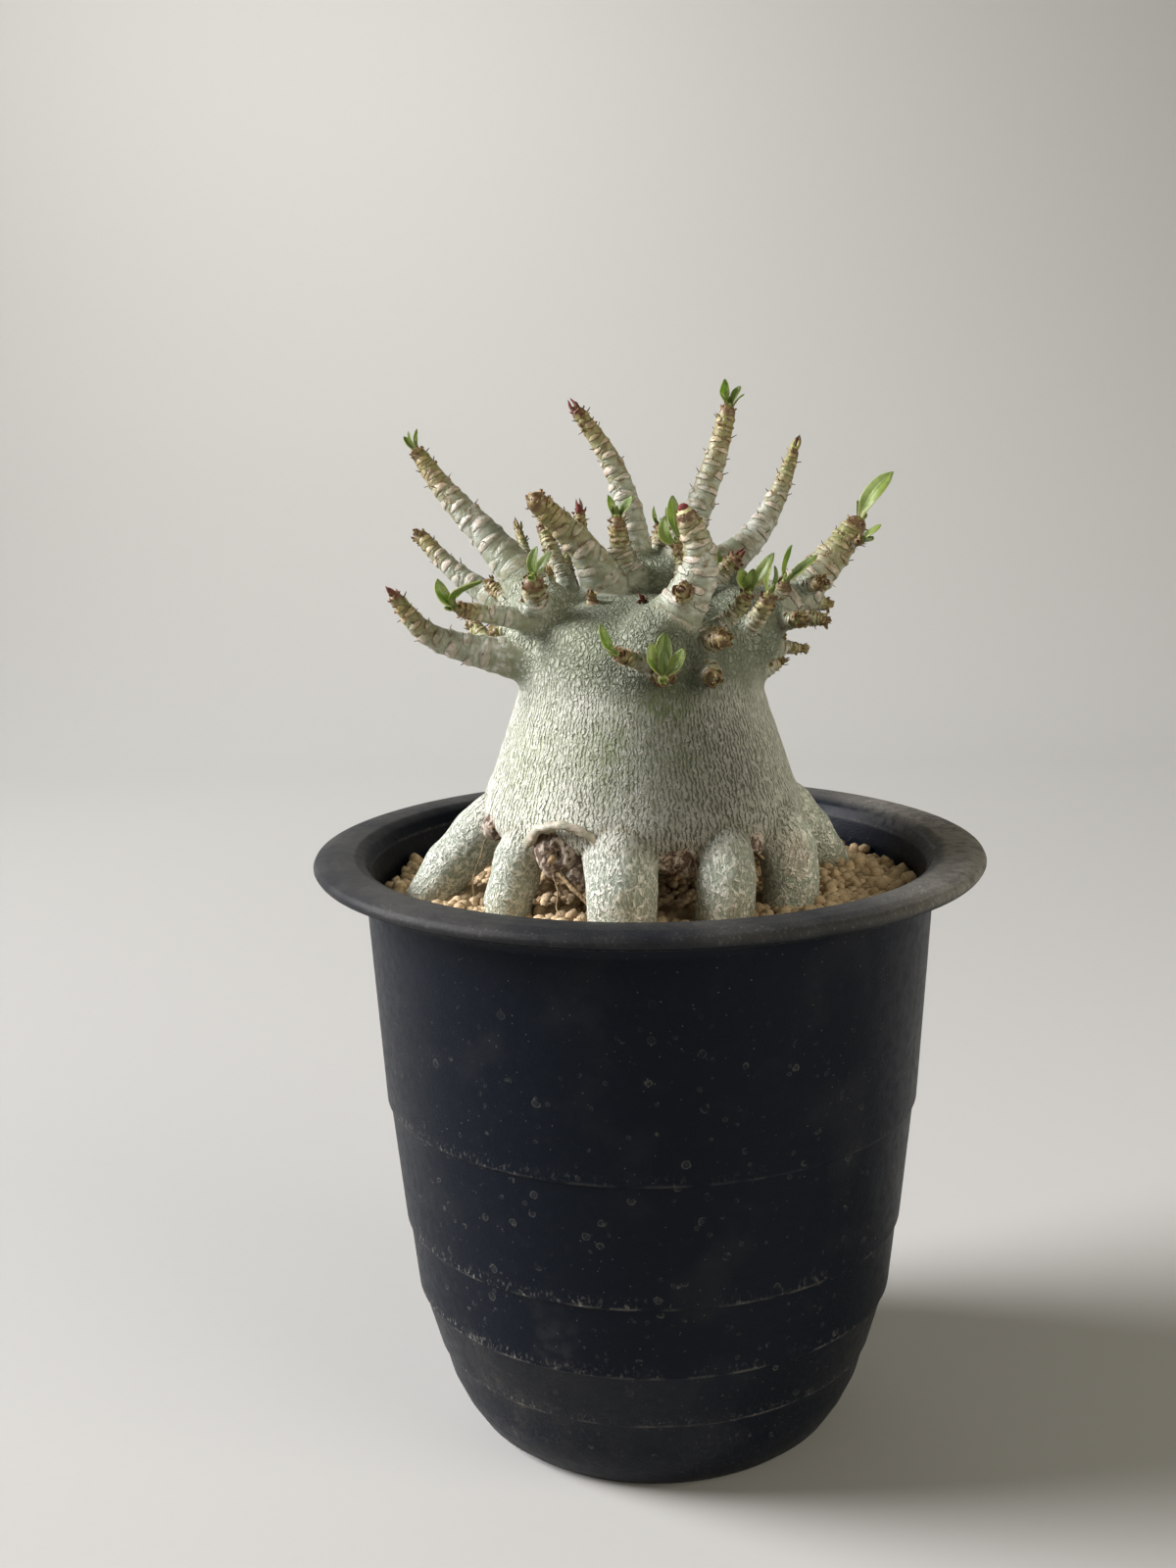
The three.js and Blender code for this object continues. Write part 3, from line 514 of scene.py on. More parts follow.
LEAF_FRESH = (0.21, 0.28, 0.052)
LEAF_DEEP = (0.060, 0.100, 0.016)
LEAF_VEIN = (0.20, 0.30, 0.06)
LEAF_MIDRIB = (0.27, 0.36, 0.09)
LEAF_MARGIN = (0.42, 0.46, 0.14)
LEAF_FOOT = (0.32, 0.34, 0.12)


# Finishes.

def plastic_finish(settings):
    """Black matt plastic with a fine orange peel, dust, dried water spots, scuffs, and painted sheen on its
    flanks and rim.
    """
    f = Finish("pot_plastic", 0.5, Specular_IOR_Level=0.09)
    place = f.place()
    x, _, z = f.parts(place)
    cloudy = f.noise(place, 0.045, 4.0)
    fine_cloud = f.noise(place, 0.35, 5.0)
    grain = f.noise(place, 2.4, 3.0)
    flecks = f.noise(f.upright(place, 0.5), 1.3, 5.0).above(0.53, 0.70)
    patchy = f.noise(place, 0.12, 3.0).above(0.42, 0.62)
    left = x.below(-60, 10)

    # dust lies on the steps, toward the foot and on the rim's crest, heavier on the left; the crest is also
    # lightened as a painted sheen, most on the right
    step_dust = 0
    for height in STEP_HEIGHTS:
        weight = 0.30 if height == STEP_HEIGHTS[-1] else 0.75
        line = z.within(height - 0.5, height + 0.1, height + 0.3, height + 1.1) * 0.5
        cloudlet = z.within(height - 0.6, height + 0.4, height + 0.8, height + 4.5) * flecks
        step_dust = step_dust + (line * patchy + cloudlet * (patchy * 0.6 + left * 1.1)) * weight
    foot = z.below(3, 34) * (cloudy.above(0.44, 0.66) * 0.3 + left * 0.7) + z.below(0.5, 5)
    on_rim = z.above(157, 160)
    outer = f.distance(f.upright(place, 0), (0, 0, 0)).above(76, 80)
    # painted sheen: the rim's crest is lightened along with its dust, most of all on the right
    crest_dust_and_sheen = on_rim * outer * (cloudy.above(0.3, 0.7) * 0.8 + 0.25 + x.above(35, 85) * 2.2)
    specks = f.cells(place, 0.48).below(0.04, 0.11) * f.noise(place, 0.09, 2.0).above(0.36, 0.56)
    specks = specks + f.cells(f.shifted(place, (31, 7, 11)), 0.95).below(0.05, 0.13) * foot

    # dried water spots: some cells carry a pale ring or disc
    spots = 0
    for pitch, share, weight in ((0.17, 0.42, 1.0), (0.31, 0.52, 0.7)):
        spot_place = f.swayed(f.shifted(place, (0, 0, 90 * pitch)), 0.6, 0.9)
        spot = f.cells(spot_place, pitch)
        chosen = f.parts(f.cells(spot_place, pitch, "F1", "Color"))[0].above(share, share + 0.02)
        ring = spot.within(0.13, 0.17, 0.175, 0.22)
        spots = spots + (ring + spot.below(0.08, 0.16) * 0.3) * chosen * weight
    spots = spots * z.below(118, 150) * fine_cloud.above(0.42, 0.58)

    # short pale scratches, a thin haze, a painted sheen on the flanks (strongest on the left) and on the
    # rim's right, and the dusty line in the groove under the rim
    lean = f.upright(f.swayed(place, 0.03, 30.0), 0.16)
    scratches = f.cells(lean, 0.34).below(0.016, 0.035) * cloudy.above(0.42, 0.58)
    haze_and_sheen = cloudy.above(0.50, 0.72) * 0.030 + fine_cloud.above(0.50, 0.8) * 0.010
    smudge = left * z.below(20, 70) * cloudy.above(0.46, 0.62) * fine_cloud.above(0.38, 0.60)
    # painted sheen: a pale haze on the pot's flanks, strongest on the left
    sides = x.below(-78, -50) * 0.10 + x.above(45, 78) * 0.035
    haze_and_sheen = haze_and_sheen + smudge * 0.16 + sides * grain * z.below(138, 150)
    # painted sheen with some wear: the right of the rim is lightened
    worn_and_sheen = x.above(52, 90) * on_rim * fine_cloud.above(0.35, 0.6) * 0.5
    worn_and_sheen = worn_and_sheen + z.within(156.9, 157.3, 157.7, 158.1) * mixed(0.06, 0.30, flecks)
    dust_and_sheen = haze_and_sheen + step_dust * 0.75 + foot * flecks * 0.30 + foot * fine_cloud.above(0.40, 0.75) * 0.05
    dust_and_sheen = dust_and_sheen + crest_dust_and_sheen * (0.20 + flecks * 0.18) + worn_and_sheen + specks * 0.45 + spots * 0.22
    dust_and_sheen = (dust_and_sheen + scratches * 0.4).clipped()

    # dust and the painted sheen both pull the plastic toward the dust colour
    colour = f.shade(f.blend(settings.colour, settings.dust_and_sheen_colour, dust_and_sheen), mixed(0.7, 1.35, grain))
    peel = grain * 1.1 + f.noise(place, 0.16, 2.0) * 1.2
    rough = mixed(0.36, 0.85, (dust_and_sheen * 1.6 + fine_cloud.above(0.3, 0.8) * 0.25).clipped())
    return f.finish(colour, rough, peel + dust_and_sheen * 0.8, 0.10)


def grit_finish(settings):
    """Baked clay and pumice grains, each in its own tone, darker under the plant as painted shade."""
    f = Finish("grit_grains", 0.9, Specular_IOR_Level=0.25)
    place = f.place()
    grain_noise = f.noise(place, 0.9, 4.0)
    pits = f.noise(place, 2.6, 4.0)
    tone = (f.number("tone") + (grain_noise - 0.5) * 0.5).clipped()
    colour = f.layered(settings.dark, (settings.pale, tone),
                       (RUSTY_GRAIN, f.noise(place, 0.5, 2.0).above(0.58, 0.75) * 0.35))
    colour = f.shade(colour, mixed(0.72, 1.08, pits.above(0.3, 0.62)))
    return f.finish(colour, mixed(0.82, 0.98, grain_noise), pits + grain_noise * 0.6, 0.28)


def bark_finish(settings):
    """Wrinkled silvery skin on the stem base and roots, scarred bark on the branches."""
    f = Finish("bark_skin", 0.6, Specular_IOR_Level=0.38)
    place, stem = f.place(), f.vector("stem")
    x, y, z = f.parts(place)
    limb, root, tip = f.number("limb"), f.number("root"), f.number("tip")
    strength, cork = f.number("scarred"), f.number("cork")
    oval = f.number("oval") + (f.noise(place, 0.9, 3.0) - 0.5) * 0.8
    scar = oval.below(0.86, 1.0) * strength
    groove = oval.within(0.95, 1.08, 1.16, 1.45) * strength
    slot = oval.below(0.16, 0.3) * strength
    cloud = f.noise(place, 0.07, 3.0)
    mottle = f.noise(place, 0.5, 4.0)
    fine = f.noise(place, 2.2, 4.0)

    # the stem base: upright zigzag wrinkles that fork and join, and a net of creases on the crown
    bearing = f.math("ARCTAN2", y, x - BODY_CENTRE_X)
    zigzag = f.noise(f.upright(place, 0.7), 0.36, 2.0) * 13.0
    zigzag = zigzag + f.noise(f.upright(place, 0.9), 0.75, 1.0) * 8.0
    folds = f.math("SINE", bearing * WRINKLES + zigzag)
    broken = f.noise(f.upright(place, 0.5), 0.95, 2.0).above(0.36, 0.54)
    folds = 1 - folds.below(-0.95, 0.1) * broken
    swayed = f.swayed(f.swayed(place, 0.22, 3.4), 0.8, 1.5)
    crinkle = f.seams(f.upright(swayed, 0.7), 0.75).above(0.0, 0.30)
    small = f.seams(f.upright(swayed, 0.55), 1.15).above(0.0, 0.25)
    crown = (z + cloud * 12.0).above(207, 219)
    crinkle_top = mixed(folds, crinkle, crown)
    base_relief = crinkle_top * mixed(1.5, 1.0, crown) + small * 0.45 + fine * 0.35

    # roots: a net of fine raised lines on smoother skin
    net_place = f.upright(f.swayed(f.swayed(stem, 0.3, 3.2), 1.0, 1.8), 0.55)
    net = f.seams(net_place, 0.62).below(0.035, 0.19) * f.noise(stem, 0.7, 2.0).above(0.28, 0.50)
    net_small = f.seams(net_place, 1.5).below(0.0, 0.2) * 0.6
    root_relief = net * 1.2 + net_small * 0.7 + mottle * 0.7

    # branches: smooth waxy bark with light creases across
    across = f.noise(f.scaled(stem, (0.35, 0.35, 1.0)), 0.9, 4.0)
    branch_relief = across * 0.6 + fine * 0.35 + scar * 0.55 - groove * 0.35 - slot * 0.4
    relief = mixed(base_relief, mixed(branch_relief, root_relief, root), limb)

    # colours of the stem base: pale wrinkles, furrows partly painted shade, green patches, a bleached foot,
    # painted shade on the front's middle and the crown
    raised = mixed(crinkle_top * 0.72, crinkle_top * 0.62 + 0.04, crown)
    raised = (raised + small * 0.2 + (mottle - 0.5) * 0.7).clipped()
    green_patch = f.near(place, 1.15, (-3, -38, 222), 4, 26)
    green_side = f.near(place, 0.7, (-30, -22, 131), 4, 20) * 0.5
    stain = f.near(place, 1.15, (5, -34, 238), 2, 11) * 0.9
    greener = (green_patch * mixed(0.5, 1.0, cloud.above(0.35, 0.55)) + stain + green_side).clipped()
    bleached = z.below(172, 190) * 0.5 + cloud.above(0.55, 0.72) * 0.2
    base = f.layered(settings.furrow_and_shade, (settings.ridge, raised),
                     (MOSSY_SKIN, greener * mottle.above(0.30, 0.60) * 0.85),
                     (CROWN_SKIN, crown * mixed(0.20, 0.48, x.above(-30, -12))),
                     (BLEACHED_SKIN, (bleached * crinkle_top).clipped() * 0.8))
    # painted shade: the middle of the front is darkened
    middle = f.near(place, 0.8, (10, -38, 149), 8, 42)
    # painted shade on the crown, toward its right and at its top
    shade = mixed(1.0, 0.66, crown * x.above(-22, -10)) * mixed(1.0, 0.92, z.above(219, 229))
    base = f.shade(base, shade * (1 - middle * 0.55))

    # roots are cooler, with pale raised lines, and browner at the grit; painted shade darkens those right
    # of the middle, and painted light brightens the right-hand ones
    root_skin = f.layered(ROOT_DARK, (ROOT_PALE, mottle.above(0.3, 0.7)),
                          (ROOT_LINES, (net * 0.9 + net_small * 0.4).clipped()),
                          (ROOT_AT_GRIT, z.below(149, 158) * mottle.above(0.35, 0.7) * 0.7),
                          (ROOT_SCAR, scar * 0.7),
                          (ROOT_SCAR_RIM, groove * 0.75))
    # painted shade and light by place: darker from the middle roots rightward, brighter on the right-hand
    # front roots
    root_skin = f.shade(root_skin, mixed(mixed(1.0, 0.88, x.above(-20, -12)), 1.25, x.above(24, 32)))

    # branches turn from silver to olive toward the tip, with pale waxy bloom patches that are also a
    # painted sheen; scars are pale and pinkish
    silver = f.layered(SILVER_DARK, (SILVER_PALE, (across * 1.9 - 0.45).clipped()),
                       (BLOOM_AND_SHEEN, cloud.above(0.50, 0.66) * across.above(0.35, 0.6) * 0.7),
                       (BRANCH_FOOT, tip.below(0.10, 0.45) * mottle.above(0.34, 0.56) * 0.85),
                       (OLD_OLIVE, tip.above(0.30, 0.66) * mottle.above(0.38, 0.62) * 0.85))
    olive = f.layered(settings.young, (YOUNG_BROWN, across.above(0.4, 0.66)),
                      (YOUNG_RED, mottle.above(0.55, 0.7) * 0.6),
                      (YOUNG_GREEN, cloud.above(0.5, 0.62) * 0.5))
    scar_colour = f.layered(OLD_SCAR, (YOUNG_SCAR, tip.above(0.6, 0.95)),
                            (BROWN_SCAR, mottle.above(0.50, 0.70) * 0.6))
    scar_colour = f.shade(scar_colour, mixed(0.78, 1.12, across.above(0.3, 0.7)))
    patch = f.noise(place, 0.22, 2.0).above(0.42, 0.60)
    dark = f.blend(OLD_GROOVE, YOUNG_GROOVE, tip.above(0.3, 0.8))
    marked = groove * mottle.above(0.38, 0.60) * mixed(0.32, 0.66, tip) + slot * 0.35
    skin = f.layered(silver, (olive, (tip.above(0.50, 0.94) * 0.95 + mottle * 0.2 - 0.1).clipped()),
                     (scar_colour, scar * mixed(0.25, 0.8, patch)),
                     (WORN_BARK, (1 - patch) * mottle.above(0.54, 0.64) * 0.45),
                     (DARK_END, f.number("end") * mottle.above(0.32, 0.52) * 0.85),
                     (dark, marked.clipped()))

    # the three skins in one, painted shade in the folds where forms meet, and dry cork that is brown-grey,
    # rough and torn
    torn = f.noise(f.upright(f.swayed(place, 0.5, 2.6), 0.5), 0.75, 4.0)
    corky = (cork * 1.7 + (mottle - 0.5) * 0.9).above(0.35, 0.75)
    colour = f.layered(base, (f.blend(skin, root_skin, root), limb),
                       # painted shade in the folds where forms meet, patchy
                       (FOLD_PAINTED_SHADE, f.number("fold") * mottle.above(0.35, 0.6) * 0.8),
                       (f.blend(CORK_DARK, CORK_PALE, torn.above(0.42, 0.62)), corky))
    colour = f.shade(colour, mixed(0.9, 1.06, cloud))
    rough = mixed(mixed(0.60, 0.38, limb * (1 - root)), 0.95, corky) + (mottle - 0.5) * 0.2
    return f.finish(colour, rough, mixed(relief, torn * 3.0, corky), 0.42)


def dry_finish():
    """Dry leaf-stalk stubs and bracts; the tint says how red, how pale and how green each one is."""
    f = Finish("dry_scales", 0.75, Specular_IOR_Level=0.3)
    red, pale, green = f.parts(f.vector("tint"))
    edge = f.number("edge")
    streak = f.noise(f.upright(f.place(), 0.4), 1.6, 4.0)
    dryness = (streak.above(0.35, 0.7) * 0.6 + pale * 0.7 - edge.above(0.4, 1.0) * 0.55).clipped()
    colour = f.layered(DRY_DARK, (DRY_PALE, dryness),
                       (DRY_RED, (red * streak.above(0.2, 0.5) + red * edge * 0.4).clipped()),
                       (DRY_GREEN, (green * edge.below(0.30, 0.80)).clipped()),
                       (BUD_CREAM, pale.above(1.4, 1.8)))
    colour = f.shade(colour, mixed(0.75, 1.2, streak))
    return f.finish(colour, mixed(0.6, 0.9, streak), streak, 0.2)


def leaf_finish(settings):
    """Glossy young leaf: pale midrib, faint side veins, lighter margin and foot."""
    f = Finish("young_leaf", 0.38, Specular_IOR_Level=0.5, Subsurface_Weight=0.12, Subsurface_Scale=0.0015,
               Subsurface_Radius=(0.5, 1.0, 0.15))
    across, along, age = f.parts(f.vector("blade"))
    side = f.math("ABSOLUTE", across)
    midrib = side.below(0.03, 0.13)
    margin = side.above(0.86, 0.99)
    slant = f.node("ShaderNodeCombineXYZ", {}, {"X": along * 15 - side * 4.5, "Y": age * 9, "Z": 0.0})
    veins = f.node("ShaderNodeTexWave", {"wave_type": "BANDS"},
                   {"Vector": slant, "Scale": 0.55, "Distortion": 0.6}, "Fac").above(0.62, 0.98)
    mottle = f.noise(f.place(), 0.9, 3.0)
    colour = f.layered(settings.green, (LEAF_FRESH, age),
                       (LEAF_DEEP, mottle.above(0.42, 0.75) * 0.5),
                       (LEAF_VEIN, veins * 0.12),
                       (LEAF_MIDRIB, midrib * 0.45),
                       (LEAF_MARGIN, margin * 0.8),
                       (LEAF_FOOT, along.below(0.0, 0.30) * 0.8))
    relief = veins * 0.5 - midrib * 0.8 + mottle * 0.5
    return f.finish(colour, mixed(0.30, 0.48, mottle), relief, 0.12)


def paper_finish(settings):
    """Plain pale paper for the floor and backdrop."""
    f = Finish("studio_paper", 0.95, Specular_IOR_Level=0.1)
    grain = f.noise(f.place(), 0.25, 3.0)
    return f.finish(f.shade(tuple(settings.paper), mixed(0.985, 1.01, grain)))


# Shapes.

def finished(name, mesh, material, replaced=()):
    """Puts a mesh in the scene in metres, with its material, its body and what it stands for."""
    if not mesh.polygons:
        raise RuntimeError(f"{name} has no faces")
    mesh.transform(Matrix.Scale(MM, 4))
    mesh.name = name
    mesh.materials.clear()
    mesh.materials.append(material)
    mesh.shade_smooth()
    piece = bpy.data.objects.new(name, mesh)
    bpy.context.scene.collection.objects.link(piece)
    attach(piece, "root")
    if replaced:
        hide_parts(*replaced)
    return piece


def to_mesh(bm, name):
    mesh = bpy.data.meshes.new(name)
    bm.to_mesh(mesh)
    bm.free()
    return mesh


def pour(bm, mesh):
    """Moves a mesh into a larger bmesh."""
    bm.from_mesh(mesh)
    bpy.data.meshes.remove(mesh)


def add_copy(bm, mesh, matrix):
    """Adds a placed copy of a small mesh to a larger bmesh."""
    copy = mesh.copy()
    copy.transform(matrix)
    pour(bm, copy)


def table_of(items, name, columns=3, kind=float):
    """One property of all vertices or edges, as a table."""
    flat = np.empty(len(items) * columns, kind)
    items.foreach_get(name, flat)
    return flat.reshape(-1, columns)


def coordinates(mesh):
    return table_of(mesh.vertices, "co")


def outward(mesh):
    return table_of(mesh.vertex_normals, "vector")


def set_coordinates(mesh, points):
    mesh.vertices.foreach_set("co", points.ravel())
    mesh.update()


def keep(mesh, name, values):
    """Stores a number or a vector for each vertex, for the finishes to read."""
    is_vector = values.ndim == 2
    layer = mesh.attributes.new(name, "FLOAT_VECTOR" if is_vector else "FLOAT", "POINT")
    layer.data.foreach_set("vector" if is_vector else "value", values.astype(np.float32).ravel())


def applied(mesh, kind, **settings):
    """The mesh with one modifier applied."""
    holder = bpy.data.objects.new("holder", mesh)
    bpy.context.scene.collection.objects.link(holder)
    modifier = holder.modifiers.new("step", kind)
    for name, value in settings.items():
        setattr(modifier, name, value)
    graph = bpy.context.evaluated_depsgraph_get()
    made = bpy.data.meshes.new_from_object(holder.evaluated_get(graph))
    bpy.data.objects.remove(holder)
    return made


def smooth_step(values, low, high):
    share = np.clip((values - low) / (high - low), 0, 1)
    return share * share * (3 - 2 * share)


def bell(values, width):
    """1 at zero, falling off within the width."""
    return np.exp(-(values / width) ** 2)


def noise_at(points, size, seed=0.0):
    """Smooth noise from -1 to 1 at each point, for forms of the given size."""
    shift = Vector((seed, seed * 1.7, seed * 0.6))
    return np.array([noise.noise(Vector(point) / size + shift) for point in points])


def chain(points):
    """A bmesh of points joined in a row, and its vertices."""
    bm = bmesh.new()
    corners = [bm.verts.new(point) for point in points]
    for pair in zip(corners, corners[1:]):
        bm.edges.new(pair)
    return bm, corners


def spun(bm, sides):
    """An outline turned a full round about the Z axis."""
    bmesh.ops.spin(bm, geom=bm.verts[:] + bm.edges[:], cent=(0, 0, 0), axis=(0, 0, 1), angle=TURN,
                   steps=sides, use_merge=True)
    bmesh.ops.remove_doubles(bm, verts=bm.verts, dist=1e-4)
    bmesh.ops.recalc_face_normals(bm, faces=bm.faces)
    return bm


def turned(profile, sides):
    """A profile of (radius, height) turned about the Z axis."""
    bm, _ = chain([(radius, 0, height) for radius, height in profile])
    return spun(bm, sides)


def thickened(bm, thickness, name):
    """A sheet with a thickness, as a mesh."""
    bmesh.ops.solidify(bm, geom=bm.faces[:], thickness=thickness)
    bmesh.ops.recalc_face_normals(bm, faces=bm.faces)
    return to_mesh(bm, name)


def ball(name, subdivisions, matrix):
    """An icosphere, shaped by a matrix."""
    bm = bmesh.new()
    bmesh.ops.create_icosphere(bm, subdivisions=subdivisions, radius=1, matrix=matrix)
    return to_mesh(bm, name)


def frame_matrix(place, up, side, scale):
    """A matrix that stands a shape on a point, with its Z along `up` and its X near `side`."""
    up = up.normalized()
    across = (side - up * side.dot(up)).normalized()
    turn = Matrix((across, up.cross(across), up)).transposed().to_4x4()
    return Matrix.Translation(place) @ turn @ Matrix.Diagonal((*scale, 1))


class Limb:
    """A root, branch or shoulder: even samples of its centre line, with frames and radii."""

    STEP = 0.7
    DOME_RINGS = 4
    CHUNK = 20000
    # how much of the tip's radius its round end takes off the length
    TRIMS = {"branch": 0.75, "root": 0.9, "shoulder": 0.95}
    # a way that no limb starts in, for the first frame
    ASIDE = (0.31, 0.87, 0.38)

    def __init__(self, path, radii, sunk=0.0, kind="branch", tip=None):
        self.path, self.radii, self.sunk, self.kind, self.tip = path, radii, sunk, kind, tip
        corners = [Vector(point) for point in path]
        if sunk:
            corners.insert(0, corners[0] + (corners[0] - corners[1]).normalized() * sunk)
        line = np.array(self.through(corners))
        runs = np.r_[0, np.cumsum(np.linalg.norm(np.diff(line, axis=0), axis=1))]
        self.length = runs[-1]
        self.visible = self.length - sunk
        self.is_long = self.visible > LONG_SHOOT
        self.end = self.length - self.TRIMS[kind] * radii[1]
        self.reach = np.linspace(0, self.end, max(4, int(self.end / self.STEP)))
        self.centres = np.stack([np.interp(self.reach, runs, line[:, i]) for i in range(3)], 1)
        self.tangents = np.gradient(self.centres, axis=0)
        self.tangents /= np.linalg.norm(self.tangents, axis=1)[:, None]
        side = np.cross(self.tangents[0], self.ASIDE)
        normals = [side / np.linalg.norm(side)]
        for tangent in self.tangents[1:]:
            carried = normals[-1] - tangent * np.dot(normals[-1], tangent)
            normals.append(carried / np.linalg.norm(carried))
        self.normals = np.array(normals)
        self.binormals = np.cross(self.tangents, self.normals)

    @staticmethod
    def through(corners, steps=16):
        """Points of a Catmull-Rom curve through the corners, as in the part's source."""
        ends = [2 * corners[0] - corners[1], *corners, 2 * corners[-1] - corners[-2]]
        points = []
        for a, b, c, d in zip(ends, ends[1:], ends[2:], ends[3:]):
            leave, arrive = (c - a) / 2, (d - b) / 2
            for step in range(steps):
                t = step / steps
                points.append((2 * t**3 - 3 * t**2 + 1) * b + (t**3 - 2 * t**2 + t) * leave
                              + (3 * t**2 - 2 * t**3) * c + (t**3 - t**2) * arrive)
        return points + [corners[-1]]

    def share(self, distance):
        """How much of the visible length lies before a distance."""
        return np.clip((distance - self.sunk) / self.visible, 0, 1)

    def radius(self, distance):
        start, end = self.radii
        if self.kind == "branch":
            flare = 0.22 * start * np.exp(-np.abs(distance - self.sunk) / start)
            return end + (start - end) * (1 - self.share(distance)) ** 0.9 + flare
        taper = 1.4 if self.kind == "root" else 1
        return start + (end - start) * np.clip(distance / self.length, 0, 1) ** taper

    def at(self, distance):
        """Centre, tangent, normal and binormal at a distance along the limb."""
        k = int(np.clip(np.searchsorted(self.reach, distance), 0, len(self.reach) - 1))
        return [Vector(table[k]) for table in (self.centres, self.tangents, self.normals, self.binormals)]

    def surface(self, distance, angle, share=1.0):
        """A point at a share of the limb's radius, the way out of the limb there, and its tangent."""
        centre, tangent, normal, binormal = self.at(distance)
        out = normal * math.cos(angle) + binormal * math.sin(angle)
        return centre + out * float(self.radius(distance)) * share, out, tangent

    def tube(self, sides):
        """The limb as a closed tube with a domed end."""
        rings = [(distance, 0.0, 1.0) for distance in self.reach[::2]] + [(self.end, 0.0, 1.0)]
        for k in range(1, self.DOME_RINGS + 1):
            rise = k / self.DOME_RINGS * 1.5
            rings.append((self.end, math.sin(rise), math.cos(rise)))
        bm = bmesh.new()
        bmesh.ops.create_circle(bm, segments=sides, radius=1)
        bmesh.ops.spin(bm, geom=bm.verts[:] + bm.edges[:], cent=(0, 0, 0), axis=(0, 0, 1),
                       dvec=(0, 0, 1), angle=0, steps=len(rings) - 1, use_duplicate=False)
        bmesh.ops.holes_fill(bm, edges=[edge for edge in bm.edges if edge.is_boundary], sides=0)
        for vertex in bm.verts:
            distance, offset, share = rings[int(round(vertex.co.z))]
            centre, tangent, normal, binormal = self.at(distance)
            radius = float(self.radius(distance))
            vertex.co = (centre + tangent * (offset * radius)
                         + (normal * vertex.co.x + binormal * vertex.co.y) * (share * radius))
        bmesh.ops.recalc_face_normals(bm, faces=bm.faces)
        return bm

    def measure(self, points):
        """For each point: signed distance from the limb, distance along it, way out, angle, axis point."""
        nearest = np.empty(len(points), int)
        for first in range(0, len(points), self.CHUNK):
            part = points[first:first + self.CHUNK]
            apart = (part**2).sum(1)[:, None] - 2 * part @ self.centres.T + (self.centres**2).sum(1)
            nearest[first:first + self.CHUNK] = apart.argmin(1)
        rel = points - self.centres[nearest]
        tangent = self.tangents[nearest]
        step = self.reach[1] - self.reach[0]
        low = np.where(nearest == 0, 0.0, -step)
        high = np.where(nearest == len(self.reach) - 1, 0.0, step)
        along = np.clip((rel * tangent).sum(1), low, high)
        axis = self.centres[nearest] + tangent * along[:, None]
        out = points - axis
        distance = np.linalg.norm(out, axis=1)
        out = out / np.maximum(distance, 1e-6)[:, None]
        reach = self.reach[nearest] + along
        angle = np.arctan2((out * self.binormals[nearest]).sum(1), (out * self.normals[nearest]).sum(1))
        return distance - self.radius(reach), reach, out, angle, axis


def root_limbs():
    return [Limb(path, (start, end), 0, "root") for start, end, path in ROOTS]


def branch_limbs():
    return [Limb(path, (start, end), sunk, "branch", tip) for start, end, sunk, tip, path in BRANCHES]


def shoulder_limbs():
    limbs = []
    for start, end, first, last in SHOULDERS:
        way = (Vector(end) - Vector(start)).normalized()
        limbs.append(Limb([start, Vector(end) + way * (0.8 * last)], (first, last), 0, "shoulder"))
    return limbs


def bark_age(branch, share):
    """Where the bark stands between silver, 0, and olive, 1, at a share of a branch's length."""
    if branch.tip == "bud":
        return 0.85 * share
    if branch.radii[0] > STOUT_SHOOT:
        return 0.18 + 0.82 * share
    if branch.is_long and branch.tip != "brown":
        return share
    return 0.42 + 0.58 * share


def leaf_scars(branch, number):
    """Each leaf scar's distance, angle and share of the visible length, in a golden-angle spiral."""
    distance, angle = branch.sunk + (2.5 if branch.is_long else 1.2), number * 1.7
    scars = []
    while distance < branch.end - 0.2:
        share = (distance - branch.sunk) / branch.visible
        scars.append((distance, angle, share))
        distance += (2.2 - 1.3 * share) if branch.is_long else 0.85
        angle += GOLDEN_ANGLE
    return scars


# The plant's skin.

def relaxed(points, edges, amount, rounds):
    """Moves each point toward the mean of its neighbours by its own amount."""
    count = np.bincount(edges.ravel(), minlength=len(points)).astype(float)
    for _ in range(rounds):
        total = np.stack([np.bincount(edges[:, 0], points[edges[:, 1], i], len(points))
                          + np.bincount(edges[:, 1], points[edges[:, 0], i], len(points))
                          for i in range(3)], 1)
        points = points + (total / np.maximum(count, 1)[:, None] - points) * np.reshape(amount, (-1, 1))
    return points


def claimed(points, core, limbs):
    """Which limb each point belongs to, -1 for the stem base, and what it measures there."""
    radius = np.hypot(points[:, 0] - BODY_CENTRE_X, points[:, 1])
    # the profile's heights only rise, so it gives one radius for each height
    radii, heights = np.array(BODY_PROFILE).T
    body = (radius - np.interp(points[:, 2], heights, radii)) * 0.9
    above = points[:, 2] - heights[-1]
    body = np.where(above > -2, np.maximum(body, above), body)
    for shoulder in core:
        body = np.minimum(body, shoulder.measure(points)[0])
    best, second = body.copy(), np.full(len(points), 1e3)
    owner = np.full(len(points), -1)
    reach, angle = np.zeros(len(points)), np.zeros(len(points))
    out, axis = np.zeros((len(points), 3)), points.copy()
    for number, limb in enumerate(limbs):
        margin = limb.radius(limb.reach).max() + 5
        inside = ((points > limb.centres.min(0) - margin) & (points < limb.centres.max(0) + margin)).all(1)
        chosen = np.flatnonzero(inside)
        if not len(chosen):
            continue
        depth, along, way, turn, middle = limb.measure(points[chosen])
        wins = depth < best[chosen]
        second[chosen] = np.where(wins, best[chosen], np.minimum(second[chosen], depth))
        won = chosen[wins]
        best[won], owner[won], reach[won], angle[won] = depth[wins], number, along[wins], turn[wins]
        out[won], axis[won] = way[wins], middle[wins]
    return {"body": body, "gap": second - best, "owner": owner, "reach": reach, "angle": angle,
            "out": out, "axis": axis}


